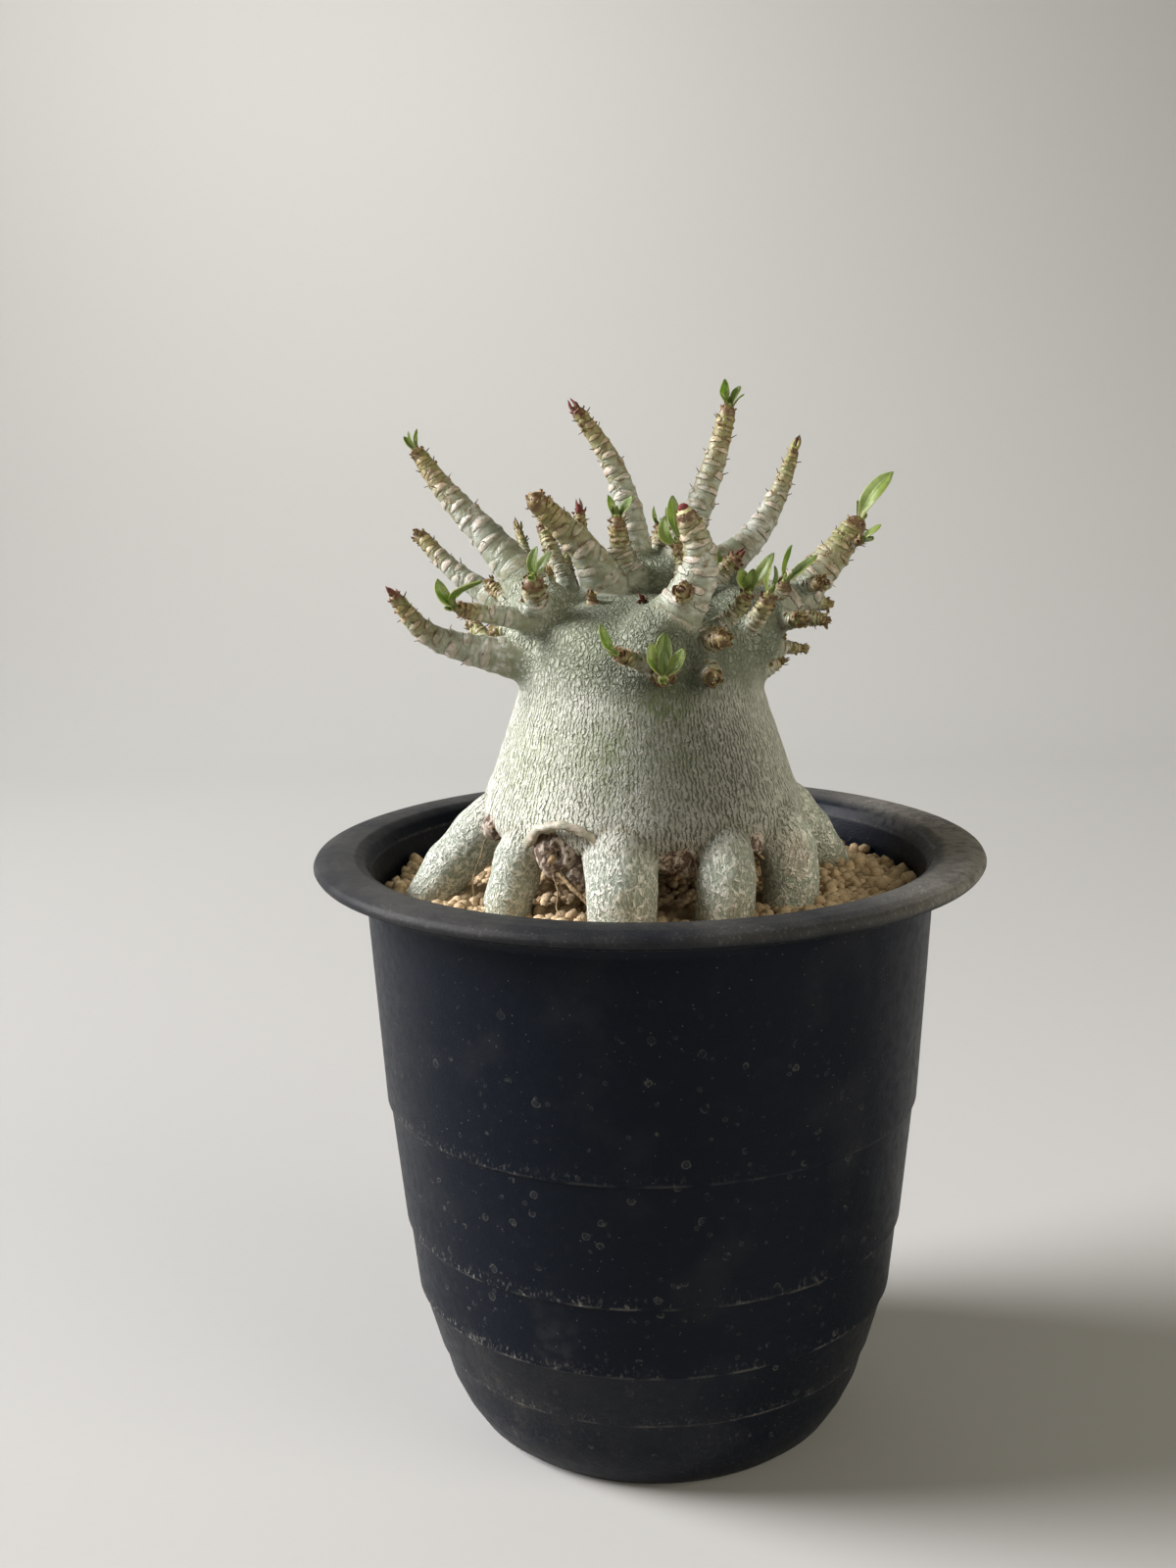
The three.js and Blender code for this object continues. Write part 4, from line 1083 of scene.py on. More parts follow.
def plant_skin(pitch, roots, branches):
    """The stem base, shoulders, roots and branches as one skin, finer on the branches."""
    core, limbs = shoulder_limbs(), roots + branches
    rough = bmesh.new()
    body = turned(BODY_PROFILE, TURNED_SIDES)
    bmesh.ops.translate(body, verts=body.verts, vec=(BODY_CENTRE_X, 0, 0))
    solids = [body] + [limb.tube(ROOT_SIDES) for limb in core + roots]
    for solid in solids + [limb.tube(BRANCH_SIDES) for limb in branches]:
        pour(rough, to_mesh(solid, "solid"))
    skin = applied(to_mesh(rough, "rough"), "REMESH", mode="VOXEL", voxel_size=pitch)

    # finer faces on the branches
    found = claimed(coordinates(skin), core, limbs)
    bm = bmesh.new()
    bm.from_mesh(skin)
    bm.verts.ensure_lookup_table()
    starts = np.array([limb.sunk + 0.08 * limb.visible for limb in limbs] + [0.0])
    on_branch = (found["owner"] >= len(roots)) & (found["reach"] > starts[found["owner"]])
    edges = [edge for edge in bm.edges if on_branch[edge.verts[0].index] and on_branch[edge.verts[1].index]]
    bmesh.ops.subdivide_edges(bm, edges=edges, cuts=1, use_grid_fill=True)
    bmesh.ops.triangulate(bm, faces=[face for face in bm.faces if len(face.verts) > 4])
    skin = to_mesh(bm, "skin")

    # onto the true surface of the limb, except where two forms meet
    edges = table_of(skin.edges, "vertices", 2, int)
    points = relaxed(coordinates(skin), edges, 0.5, 4)
    found = claimed(points, core, limbs)
    free = smooth_step(found["gap"], 0.3, 2.2) * (found["owner"] >= 0)
    radius = np.zeros(len(points))
    for number, limb in enumerate(limbs):
        mine = found["owner"] == number
        radius[mine] = limb.radius(found["reach"][mine])
    target = found["axis"] + found["out"] * radius[:, None]
    points = points + (target - points) * free[:, None]

    # the meeting places melt together, a little less among the root tops
    low_skin = (found["owner"] < len(roots)) & (points[:, 2] < ROOT_TOPS)
    crease = (1 - smooth_step(found["gap"], 0.0, 2.6)) * np.where(low_skin, 0.7, 1.0)
    points = relaxed(points, edges, 0.5 * crease, 14)
    set_coordinates(skin, points)
    return skin, points, claimed(points, core, limbs)


def unrolled(angle, radius, along):
    """Coordinates that follow a limb: round it in X and Y, along it in Z."""
    return np.stack([np.cos(angle) * radius, np.sin(angle) * radius, along], 1)


def scar_relief(branch, number, along, turn):
    """For points on a branch: the nearest scar's oval, its cushion, and the cut round it."""
    oval = np.full(len(along), 3.0)
    swell, cuts = np.zeros(len(along)), np.zeros(len(along))
    rng = random.Random(number + 5)
    for distance, at, share in leaf_scars(branch, number):
        wide = rng.uniform(0.85, 1.25)
        high = (1.55 - 0.80 * share) * rng.uniform(0.7, 1.2) if branch.is_long else 0.55
        aside = (turn - at + math.pi) % TURN - math.pi
        past = along - distance - 0.25 * np.cos(aside * 1.3) * high
        this = np.sqrt((aside / wide) ** 2 + (past / high) ** 2)
        cushion = np.exp(-(aside / (wide * 1.05)) ** 2 - ((past + 0.25 * high) / (0.85 * high)) ** 2)
        oval = np.minimum(oval, this)
        swell = np.maximum(swell, cushion)
        cuts = np.maximum(cuts, bell(this - 1.15, 0.2) * (0.35 + 0.65 * (past > 0)))
    return oval, swell, cuts


def plant_relief(depth, points, normals, found, roots, branches):
    """Adds scars, folds, corky patches and swellings to the skin, and says where each is."""
    count = len(points)
    owner, reach, angle = found["owner"], found["reach"], found["angle"]
    root = ((owner >= 0) & (owner < len(roots))).astype(float)
    limb = smooth_step(found["body"], 0.2, 3.2 + 3.8 * root) * (owner >= 0)
    move, scarred, tip, end, cork = (np.zeros(count) for _ in range(5))
    oval = np.full(count, 3.0)
    stem = points.copy()

    for number, root_limb in enumerate(roots):
        mine = np.flatnonzero(owner == number)
        along, turn = reach[mine], angle[mine]
        stem[mine] = unrolled(turn, root_limb.radius(along), along + 40 * number)
        move[mine] += 0.35 * np.sin(along * 0.55 + number) * np.cos(turn - number) * limb[mine]

    for number, branch in enumerate(branches):
        mine = np.flatnonzero(owner == number + len(roots))
        along, turn = reach[mine], angle[mine]
        radius, share = branch.radius(along), branch.share(along)
        stem[mine] = unrolled(turn, radius, along + 60 * number + 17)
        tip[mine] = bark_age(branch, share)
        end[mine] = smooth_step(along, branch.end - 1.4, branch.end)
        oval[mine], swell, cuts = scar_relief(branch, number, along, turn)
        strength = 0.3 + 0.7 * smooth_step(share, 0.0, 0.5) if branch.is_long else np.ones(len(mine))
        size = np.minimum(1.25, radius / 3.4)
        move[mine] += depth * size * strength * (1.5 * swell - 0.5 - 0.35 * cuts) * limb[mine]
        if not branch.is_long:
            move[mine] += 0.20 * np.sin(TURN * along / SCALE_RING) * limb[mine]
        scarred[mine] = strength * limb[mine]

    # folds where forms meet, swellings and a fine upright grain on the stem base, uneven roots
    fold = bell(found["gap"], 0.55) * (points[:, 2] < FOLD_TOP)
    base = 1 - limb
    move -= 0.55 * fold
    move += base * 0.55 * noise_at(points, 17.0, 3.1)
    move += base * 0.16 * noise_at(points * (1, 1, 0.42), 2.6, 9.2)
    move += limb * root * 0.14 * noise_at(points, 3.0, 4.4)

    rugged = noise_at(points, 1.7, 21.0) + 0.6 * noise_at(points, 0.9, 5.0)
    for centre, size, sunk in CORK_PATCHES:
        apart = np.linalg.norm(points - np.array(centre), axis=1) / size
        patch = 1 - smooth_step(apart + 0.18 * rugged, 0.55, 1.1)
        cork = np.maximum(cork, patch)
        move += patch * (0.55 * rugged - sunk * (1 - smooth_step(apart, 0.0, 0.85)))
    centre, half_width, half_height = OVAL_SCAR
    ring = np.linalg.norm((points - np.array(centre)) / (half_width, half_width, half_height), axis=1)
    move += 0.7 * bell(ring - 1.05, 0.16)
    on_scar = ring < 1.6
    oval[on_scar], scarred[on_scar] = ring[on_scar], 1.0

    moved = points + normals * move[:, None]
    return moved, {"stem": stem, "limb": limb, "root": root, "tip": tip, "end": end, "oval": oval,
                   "scarred": scarred, "cork": cork, "fold": fold}


# Dry parts.

def stub_shape():
    """A dry leaf-stalk stub: a bent peg, one unit long."""
    bm = bmesh.new()
    bmesh.ops.create_cone(bm, cap_ends=True, segments=5, radius1=1, radius2=0.45, depth=1)
    bmesh.ops.translate(bm, verts=bm.verts, vec=(0, 0, 0.5))
    side_edges = [edge for edge in bm.edges if abs(edge.verts[0].co.z - edge.verts[1].co.z) > 0.5]
    bmesh.ops.subdivide_edges(bm, edges=side_edges, cuts=1)
    for vertex in bm.verts:
        vertex.co.x += 0.7 * vertex.co.z**2
    return to_mesh(bm, "stub")


def scale_shape(ragged):
    """A dry scale that hugs a shoot: broad and short, with a torn edge; one unit long and wide."""
    rng = random.Random(ragged)
    bm = bmesh.new()
    bmesh.ops.create_grid(bm, x_segments=4, y_segments=3, size=0.5)
    for vertex in bm.verts:
        across, along = vertex.co.x, vertex.co.y + 0.5
        width = 1 - 0.35 * along**2
        torn = rng.uniform(0.62, 1.1) if along > 0.9 else 1.0
        out = 0.30 * along**2 - 0.9 * across**2 * (1 - 0.4 * along)
        vertex.co = (out, across * width, along * torn)
    return thickened(bm, 0.12, "scale")


def claw_shape():
    """A dry, narrow bract, curled in at the point; one unit long and one unit wide."""
    bm = bmesh.new()
    bmesh.ops.create_grid(bm, x_segments=2, y_segments=5, size=0.5)
    for vertex in bm.verts:
        across, along = vertex.co.x, vertex.co.y + 0.5
        width = (1 - along) ** 0.7 * (0.8 + 0.5 * along) + 0.04
        out = 0.20 * math.sin(math.pi * along) - 0.14 * along - 1.1 * across**2 * width
        vertex.co = (out, across * width, along)
    return thickened(bm, 0.10, "claw")


# For each tip finish: how red, pale and green its bracts are, then how many claws and how many scales
# it has, and the claws' length.
TIP_BRACTS = {
    "brown": ((0.15, 1.05, 0.70), 3, 9, 2.4),
    "red": ((0.75, 0.50, 0.15), 3, 9, 4.0),
    "bud": ((0.25, 0.90, 0.50), 1, 5, 2.2),
    "green": ((0.15, 0.85, 0.60), 2, 12, 2.2),
    "spike": ((0.0, 0.80, 0.60), 3, 3, 5.2),
    "leaf": ((0.25, 0.90, 0.35), 1, 6, 2.3),
}


class Scatter:
    """Many small copies of a few shapes in one mesh, each with its tint."""

    def __init__(self, seed):
        self.rng = random.Random(seed)
        self.bm = bmesh.new()
        self.tints, self.lengths = [], []

    def place(self, shape, matrix, tint):
        add_copy(self.bm, shape, matrix)
        self.tints.extend([tint] * len(shape.vertices))
        self.lengths.extend(vertex.co.z for vertex in shape.vertices)

    def mesh(self, name):
        mesh = to_mesh(self.bm, name)
        keep(mesh, "tint", np.array(self.tints))
        keep(mesh, "edge", np.clip(np.array(self.lengths), 0, 1))
        return mesh


def stalk_stubs(scatter, branch, number, stub):
    """Dark dry stubs of old leaf stalks, one on each of most scars."""
    rng = scatter.rng
    for distance, angle, share in leaf_scars(branch, number):
        if rng.random() > (0.35 + 0.65 * share if branch.is_long else 0.6):
            continue
        point, out, tangent = branch.surface(distance + 0.4, angle, 0.93)
        sway = Vector([rng.uniform(-0.35, 0.35) for _ in range(3)])
        long = rng.uniform(1.0, 2.0) * (1.0 if branch.is_long else 0.7)
        thick = rng.uniform(0.14, 0.24)
        tint = (rng.uniform(0, 0.3), rng.uniform(0, 0.2), 0.0)
        way = out + tangent * rng.uniform(0.1, 0.9) + sway
        scatter.place(stub, frame_matrix(point, way, tangent, (thick, thick, long)), tint)


def torn_rings(scatter, branch, scales):
    """Rings of broad torn scales on short shoots and near the tips of the long ones."""
    rng = scatter.rng
    red, pale, green = TIP_BRACTS[branch.tip][0]
    first = branch.end - min(0.72 * branch.visible, 5.0 if branch.is_long else 6.5)
    rings = max(2, int((branch.end - first) / SCALE_RING))
    for ring in range(rings + 1):
        distance = first + (branch.end - first) * ring / rings
        radius = float(branch.radius(distance))
        count = max(3, round(TURN * radius / 2.3))
        for k in range(count):
            if rng.random() < (0.82 if branch.is_long else 0.72):
                continue
            angle = ring * 1.1 + k / count * TURN + rng.uniform(-0.2, 0.2)
            point, out, tangent = branch.surface(distance - 0.3, angle, 0.92)
            lean = tangent + out * rng.uniform(0.02, 0.34)
            long, wide = rng.uniform(0.7, 1.5), rng.uniform(1.3, 2.3) * min(1.0, radius / 1.9)
            greener = green + (0.7 * rng.random() if ring < rings - 1 else 0.0)
            tint = (red * rng.uniform(0.2, 1.0), pale * rng.uniform(0.5, 1.3), min(0.8, greener))
            scatter.place(rng.choice(scales), frame_matrix(point, lean, out, (wide, wide, long)), tint)


def tip_bracts(scatter, branch, number, scales, claw):
    """The dry bracts round a shoot's tip: its claws first, then torn scales, some of them further in."""
    rng, radius, spike = scatter.rng, branch.radii[1], branch.tip == "spike"
    (red, pale, green), claws, count, reach = TIP_BRACTS[branch.tip]
    thin = min(1.0, radius / 1.8)
    for k in range(claws + count):
        is_claw = k < claws
        inner = not is_claw and k % 2 == 0 and branch.tip != "leaf"
        core = inner and k % 3 == 0
        share = 0.15 if core else (0.45 if is_claw or inner else 0.80)
        point, out, tangent = branch.surface(branch.end, number + k * GOLDEN_ANGLE, share)
        if inner:
            point += tangent * ((0.62 if core else 0.45) * radius)
        redness = min(1, red * rng.uniform(0.6, 1.2))
        tint = (redness, pale * rng.uniform(0.3, 1.3), green * rng.uniform(0.5, 1.2))
        if is_claw:
            point += tangent * (0.35 * radius)
            long, wide = reach * rng.uniform(0.7, 1.1), rng.uniform(1.1, 1.7) * thin
            wide = wide * (0.7 if spike else 1.0)
            lean = tangent + out * (0.02 if spike else rng.uniform(-0.05, 0.16))
            scatter.place(claw, frame_matrix(point, lean, out, (long, wide, long)), tint)
        else:
            long, wide = rng.uniform(1.2, 2.2), rng.uniform(1.4, 2.4) * thin
            lean = tangent + out * (rng.uniform(-0.5, 0.1) if inner else rng.uniform(-0.1, 0.38))
            scatter.place(rng.choice(scales), frame_matrix(point, lean, out, (wide, wide, long)), tint)


def dry_parts(branches):
    """Stalk stubs and torn scales on the shoots, and the bracts at their tips."""
    scatter = Scatter(41)
    stub, claw = stub_shape(), claw_shape()
    scales = [scale_shape(seed) for seed in range(4)]
    for number, branch in enumerate(branches):
        stalk_stubs(scatter, branch, number, stub)
        torn_rings(scatter, branch, scales)
        tip_bracts(scatter, branch, number, scales, claw)
    return scatter.mesh("dry_parts")


def bud_mesh(branches):
    """The dark red bud on the front shoot and the pale swelling under it."""
    branch = next(limb for limb in branches if limb.tip == "bud")
    point, out, tangent = branch.surface(branch.end, 0.0, 0.0)
    scatter = Scatter(3)
    for size, offset, tint in ((2.35, 0.9, (0.0, 1.9, 0.0)), (1.45, 2.6, (1.2, 0.3, 0.0))):
        matrix = frame_matrix(point + tangent * offset, tangent, out, (size, size, size * 0.9))
        scatter.place(ball("bud", 2, Matrix.Identity(4)), matrix, tint)
    return scatter.mesh("front_bud")


def cork_mesh():
    """Lumps of torn cork between the root tops, with the pit and the pale lip of the front one."""
    bm = bmesh.new()
    pit_centre, pit_radius = CORK_PIT
    for centre, half in CORK_LUMPS:
        mesh = ball("lump", 4, Matrix.Translation(centre) @ Matrix.Diagonal((*half, 1)))
        points, way = coordinates(mesh), outward(mesh)
        torn = 1 - 2 * np.abs(noise_at(points * (1, 1, 0.6), 2.4, 8.0))
        torn = 1.1 * torn + 0.55 * noise_at(points, 1.1, 3.0)
        pit = 1 - smooth_step(np.linalg.norm(points - np.array(pit_centre), axis=1), 0.25, pit_radius)
        set_coordinates(mesh, points + way * (torn * min(half) * 0.17 - 2.6 * pit)[:, None])
        pour(bm, mesh)
    count = len(bm.verts)
    lip = to_mesh(Limb(HEALED_LIP, (1.45, 1.0), 0, "shoulder").tube(12), "lip")
    points, way = coordinates(lip), outward(lip)
    beads = 0.75 * noise_at(points, 1.9, 6.0) + 0.35 * noise_at(points, 0.8, 2.0)
    set_coordinates(lip, points + way * beads[:, None])
    pour(bm, lip)
    mesh = to_mesh(bm, "cork")
    is_lip = np.arange(len(mesh.vertices)) >= count
    keep(mesh, "cork", np.where(is_lip, 0.10, 1.0))
    keep(mesh, "limb", is_lip.astype(float))
    keep(mesh, "scarred", is_lip.astype(float))
    keep(mesh, "oval", np.full(len(is_lip), 0.5))
    keep(mesh, "stem", coordinates(mesh))
    return mesh


def cork_flakes():
    """Torn strips of dry bark that stand out of the cork."""
    scatter = Scatter(17)
    rng = scatter.rng
    scales = [scale_shape(seed) for seed in range(4)]
    for centre, half in CORK_LUMPS:
        for _ in range(round(2.2 * max(half))):
            bearing, rise = rng.uniform(0, TURN), rng.uniform(-0.7, 0.8)
            flat = math.sqrt(1 - rise * rise)
            way = Vector((math.cos(bearing) * flat, math.sin(bearing) * flat, rise))
            point = Vector(centre) + way * Vector(half) * 0.98
            lean = way * rng.uniform(0.1, 0.5) + UP * rng.uniform(-1, 0.6)
            lean += Vector((rng.uniform(-1, 1), rng.uniform(-0.4, 0.4), 0))
            size = rng.uniform(1.3, 3.4)
            tint = (0.1, rng.uniform(0.1, 0.95), 0.0)
            matrix = frame_matrix(point, lean, way, (size * 0.7, size * 0.6, size))
            scatter.place(rng.choice(scales), matrix, tint)
    return scatter.mesh("flakes")


def thread_mesh():
    """Thin dry roots that hang from the corky patches to the grit."""
    bm = bmesh.new()
    for radius, path in ROOT_THREADS:
        pour(bm, to_mesh(Limb(path, (radius, radius * 0.45), 0, "root").tube(8), "thread"))
    mesh = to_mesh(bm, "threads")
    points = coordinates(mesh)
    wave = np.stack([noise_at(points, 4.0, seed) for seed in (1.0, 2.0, 3.0)], 1)
    set_coordinates(mesh, points + wave * 0.5)
    keep(mesh, "tint", np.tile((0.0, 0.45, 0.0), (len(points), 1)))
    keep(mesh, "edge", np.zeros(len(points)))
    return mesh


# Leaves.

def leaf_width(share):
    """Share of a leaf's full width at a share of its length: narrow foot, broad above the middle."""
    foot = 0.34 + 0.66 * smooth_step(np.array(share), 0.0, 0.55)
    point = max(0.0, 1 - max(0.0, (share - 0.54) / 0.46) ** 2.1) ** 0.60
    return float(foot) * point


def leaf_blade(leaf, knob, tangent, thickness, age):
    """One leaf as a folded and curled blade, with its own across, along and age at each vertex."""
    middle, end, width, face = leaf
    middle, end, face = Vector(middle), Vector(end), Vector(face).normalized()
    start = end.cross(tangent).cross(tangent).normalized() * (-0.62 * knob)
    control = middle * 2 - end * 0.5
    bm = bmesh.new()
    layer = bm.verts.layers.float_vector.new("blade")
    bmesh.ops.create_grid(bm, x_segments=6, y_segments=9, size=0.5)
    for vertex in bm.verts:
        across, share = vertex.co.x * 2, vertex.co.y + 0.5
        vertex[layer] = (across, share, age)
        along = ((control - start) * (1 - share) + (end - control) * share).normalized()
        point = start * (1 - share) ** 2 + control * (2 * share * (1 - share)) + end * share**2
        normal = (face - along * face.dot(along)).normalized()
        half = across * 0.5 * width * leaf_width(share)
        fold = abs(half) * (0.62 - 0.30 * share) - 0.10 * across**4 * width * share
        ripple = 0.035 * width * math.sin(share * 11 + across * 2 + age * 7)
        vertex.co = point + along.cross(normal) * half + normal * (fold + ripple)
    return thickened(bm, thickness, "leaf")


def tuft_mesh(number, branches, thickness):
    """A tuft: the green growing point, its leaves, and three small leaves still folded round it."""
    at, knob, leaves = LEAF_TUFTS[number]
    branch = next(limb for limb in branches if limb.path[-1] == at)
    tangent = Vector(branch.tangents[-1])
    rng = random.Random(100 + number)
    bm = bmesh.new()
    bmesh.ops.create_icosphere(bm, subdivisions=2, radius=knob * 0.64)
    bmesh.ops.scale(bm, verts=bm.verts, vec=(1, 1, 0.75))
    turn = tangent.to_track_quat("Z", "Y").to_matrix()
    bmesh.ops.rotate(bm, verts=bm.verts, cent=(0, 0, 0), matrix=turn)
    growing_point = to_mesh(bm, "growing_point")
    keep(growing_point, "blade", np.tile((0.5, 0.12, 0.6), (len(growing_point.vertices), 1)))
    whole = bmesh.new()
    pour(whole, growing_point)
    for leaf in leaves:
        pour(whole, leaf_blade(leaf, knob, tangent, thickness, rng.random()))
    for k in range(3):
        angle = k * GOLDEN_ANGLE + number
        out = Vector((math.cos(angle), math.sin(angle), 0))
        end = tangent * rng.uniform(1.8, 3.0) + out * 0.7
        small = (tangent * 1.2 + out * 0.8, end, rng.uniform(1.0, 1.5), -out)
        pour(whole, leaf_blade(small, knob * 0.6, tangent, thickness * 0.8, rng.random()))
    bmesh.ops.translate(whole, verts=whole.verts, vec=Vector(at) + tangent * 0.5)
    return applied(to_mesh(whole, "tuft"), "SUBSURF", levels=1, render_levels=1)


# Grit.

# The bed under the grains, as radius and height. Then how far out grains lie, how far their rows are
# laid before those outside are left off, and how far out the grains get painted shade under the plant.
GRIT_BED = [(0, 5.2), (44.6, 5.2), (58.4, 26), (65.4, 58), (69.6, 94), (72.8, 147.6), (0, 147.6)]
GRIT_RADIUS = 71.6
GRIT_ROWS_REACH = 73
SHADED_RADIUS = 46
# Layers of grains: height, distance between grains in pitches, share of places that hold one.
GRIT_LAYERS = [(148.1, 1.05, 1.0), (149.6, 1.0, 0.93), (151.0, 1.3, 0.16)]
# Distance between rows, as a share of that between grains, and how far a grain strays.
ROW_SHARE = 0.87
STRAY = 0.22


def grain_shape(seed):
    """A rounded grain of two dozen faces, one unit across."""
    rng = random.Random(seed)
    bm = bmesh.new()
    bmesh.ops.create_cube(bm, size=1)
    bmesh.ops.subdivide_edges(bm, edges=bm.edges[:], cuts=1, use_grid_fill=True)
    for vertex in bm.verts:
        even = vertex.co.normalized() * 0.5
        vertex.co = vertex.co.lerp(even, 0.86) * rng.uniform(0.86, 1.12)
    return to_mesh(bm, "grain")


def grain_places(rng, pitch):
    """The place and the tone of every grain, with painted shade darkening those under the plant."""
    places, tones = [], []
    for level, spacing, chance in GRIT_LAYERS:
        step = pitch * spacing
        rows = int(GRIT_ROWS_REACH / (step * ROW_SHARE)) + 1
        for row in range(-rows, rows + 1):
            for column in range(-rows - 2, rows + 3):
                x = (column + 0.5 * (row % 2)) * step + rng.uniform(-STRAY, STRAY) * step
                y = row * step * ROW_SHARE + rng.uniform(-STRAY, STRAY) * step
                chosen = rng.random() < chance
                if math.hypot(x, y) > GRIT_RADIUS or not chosen:
                    continue
                swell = 0.4 * math.sin(x / 9) * math.cos(y / 11)
                places.append((x, y, level + swell + rng.uniform(-0.5, 0.5)))
                # painted shade: grains under the plant are made darker
                shaded = 0.35 if math.hypot(x - BODY_CENTRE_X, y) < SHADED_RADIUS else 0.0
                tones.append(min(1, max(0, rng.gauss(0.62, 0.22) - shaded)))
    return places, tones


def grit_pieces(size):
    """The bed, and the grains on it, closely laid with every one turned its own way."""
    rng = random.Random(7)
    shapes = [grain_shape(seed) for seed in range(7)]
    places, tones = grain_places(rng, size * 0.94)
    depth = np.min([limb.measure(np.array(places))[0] for limb in root_limbs()], axis=0)
    kept = depth > -size * 0.25
    bm = turned(GRIT_BED, TURNED_SIDES)
    values = [0.25] * len(bm.verts)
    for point, tone, stays in zip(places, tones, kept):
        wide, turns = size * rng.uniform(0.78, 1.16), [rng.uniform(0, TURN) for _ in range(3)]
        stretch = (rng.uniform(0.85, 1.2), rng.uniform(0.85, 1.1), rng.uniform(0.75, 1.0))
        shape = shapes[rng.randrange(len(shapes))]
        if not stays:
            continue
        turn = Matrix.Rotation(turns[0], 4, "X") @ Matrix.Rotation(turns[1], 4, "Y")
        scale = Matrix.Diagonal((*(wide * value for value in stretch), 1))
        add_copy(bm, shape, Matrix.Translation(point) @ Matrix.Rotation(turns[2], 4, "Z") @ turn @ scale)
        values.extend([tone] * len(shape.vertices))
    mesh = to_mesh(bm, "grit")
    keep(mesh, "tone", np.array(values))
    return mesh


# Pot.

def pot_mesh(sides):
    """The turned pot with rounded edges, its ring of drain holes and the one in the middle."""
    outline = [(0, POT_FLOOR_UNDER), (FOOT_INNER - 1, POT_FLOOR_UNDER), (FOOT_INNER, 0)]
    outline += POT_OUTSIDE + POT_RIM + POT_INSIDE + [(0, POT_FLOOR_TOP)]
    bm, corners = chain([(radius, 0, height) for radius, height in outline])
    rim_from, rim_to = len(POT_OUTSIDE) + 2, len(outline) - len(POT_INSIDE) - 1
    bmesh.ops.bevel(bm, geom=corners[rim_from:rim_to] + [corners[2], corners[3]], offset=0.55,
                    offset_type="OFFSET", affect="VERTICES", segments=3, profile=0.5, material=-1)
    pot = to_mesh(spun(bm, sides), "pot")
    cutters = bmesh.new()
    for k in range(DRAIN_COUNT + 1):
        angle, ring = k / DRAIN_COUNT * TURN, (0 if k == DRAIN_COUNT else DRAIN_RING)
        place = Matrix.Translation((ring * math.cos(angle), ring * math.sin(angle), POT_FLOOR_TOP / 2))
        bmesh.ops.create_cone(cutters, cap_ends=True, segments=24, radius1=DRAIN_RADIUS,
                              radius2=DRAIN_RADIUS, depth=3 * POT_FLOOR_TOP, matrix=place)
    cutter = bpy.data.objects.new("drain_cutter", to_mesh(cutters, "drain_cutter"))
    bpy.context.scene.collection.objects.link(cutter)
    pot = applied(pot, "BOOLEAN", operation="DIFFERENCE", object=cutter, solver="EXACT")
    bpy.data.objects.remove(cutter)
    return pot


# Stage, in metres. The sweep is a line of depths and heights, drawn out to the right from its left edge.

SWEEP_LINE = [(-2.4, 0), (1.25, 0), (1.75, 0.5), (1.75, 2.2)]
SWEEP_LEFT = -2.5
SWEEP_WIDTH = 5
SWEEP_BEND = 0.30
WASH_POWER = 14.5
ROOM_COLOUR = (0.92, 0.87, 0.72, 1)
ROOM_STRENGTH = 0.17
# The camera that the picture was taken with, from the pot's rings and rim, in millimetres and pixels.
FOCAL_PIXELS, LONG_SIDE = 1850, 1600
CAMERA_PLACE = (-15.9, -478.4, 274.7)
CAMERA_PITCH = math.radians(11.407)
CAMERA_ROLL = math.radians(-1.088)


def sweep_mesh():
    """Floor and backdrop as one sheet, bent in two places."""
    bm, corners = chain([(SWEEP_LEFT, depth, height) for depth, height in SWEEP_LINE])
    bmesh.ops.bevel(bm, geom=corners[1:3], offset=SWEEP_BEND, offset_type="OFFSET", affect="VERTICES",
                    segments=12, profile=0.5, material=-1)
    grown = bmesh.ops.extrude_edge_only(bm, edges=bm.edges[:])["geom"]
    moved = [item for item in grown if isinstance(item, bmesh.types.BMVert)]
    bmesh.ops.translate(bm, verts=moved, vec=(SWEEP_WIDTH, 0, 0))
    bmesh.ops.recalc_face_normals(bm, faces=bm.faces)
    return to_mesh(bm, "studio_sweep")


def add_light(name, place, aim, size, power, colour, spread=180):
    """A round area light, turned to what it lights."""
    data = bpy.data.lights.new(name, "AREA")
    data.shape, data.size, data.energy, data.color = "DISK", size, power, colour
    data.spread = math.radians(spread)
    light = bpy.data.objects.new(name, data)
    light.location = place
    light.rotation_euler = (Vector(aim) - Vector(place)).to_track_quat("-Z", "Y").to_euler()
    bpy.context.scene.collection.objects.link(light)


def add_camera():
    """The camera at the picture's place, as the scene's camera."""
    data = bpy.data.cameras.new("front_camera")
    data.sensor_width = 36
    data.lens = FOCAL_PIXELS / LONG_SIDE * data.sensor_width
    data.clip_start, data.clip_end = 0.01, 20
    camera = bpy.data.objects.new("front_camera", data)
    camera.location = Vector(CAMERA_PLACE) * MM
    turn = Matrix.Rotation(math.pi / 2 - CAMERA_PITCH, 3, "X") @ Matrix.Rotation(CAMERA_ROLL, 3, "Z")
    camera.rotation_euler = turn.to_euler()
    bpy.context.scene.collection.objects.link(camera)
    bpy.context.scene.camera = camera


# Operators.

class ROSE_OT_pot(bpy.types.Operator):
    """Turn the pot with its rolled rim, steps and drain holes"""
    bl_idname = "desert_rose.pot"
    bl_label = "Pot"

    def execute(self, context):
        settings = context.scene.rose_pot
        mesh = pot_mesh(settings.sides)
        piece = finished("plastic_pot", mesh, plastic_finish(settings), ("pot",))
        piece.data.set_sharp_from_angle(angle=math.radians(38))
        return {"FINISHED"}


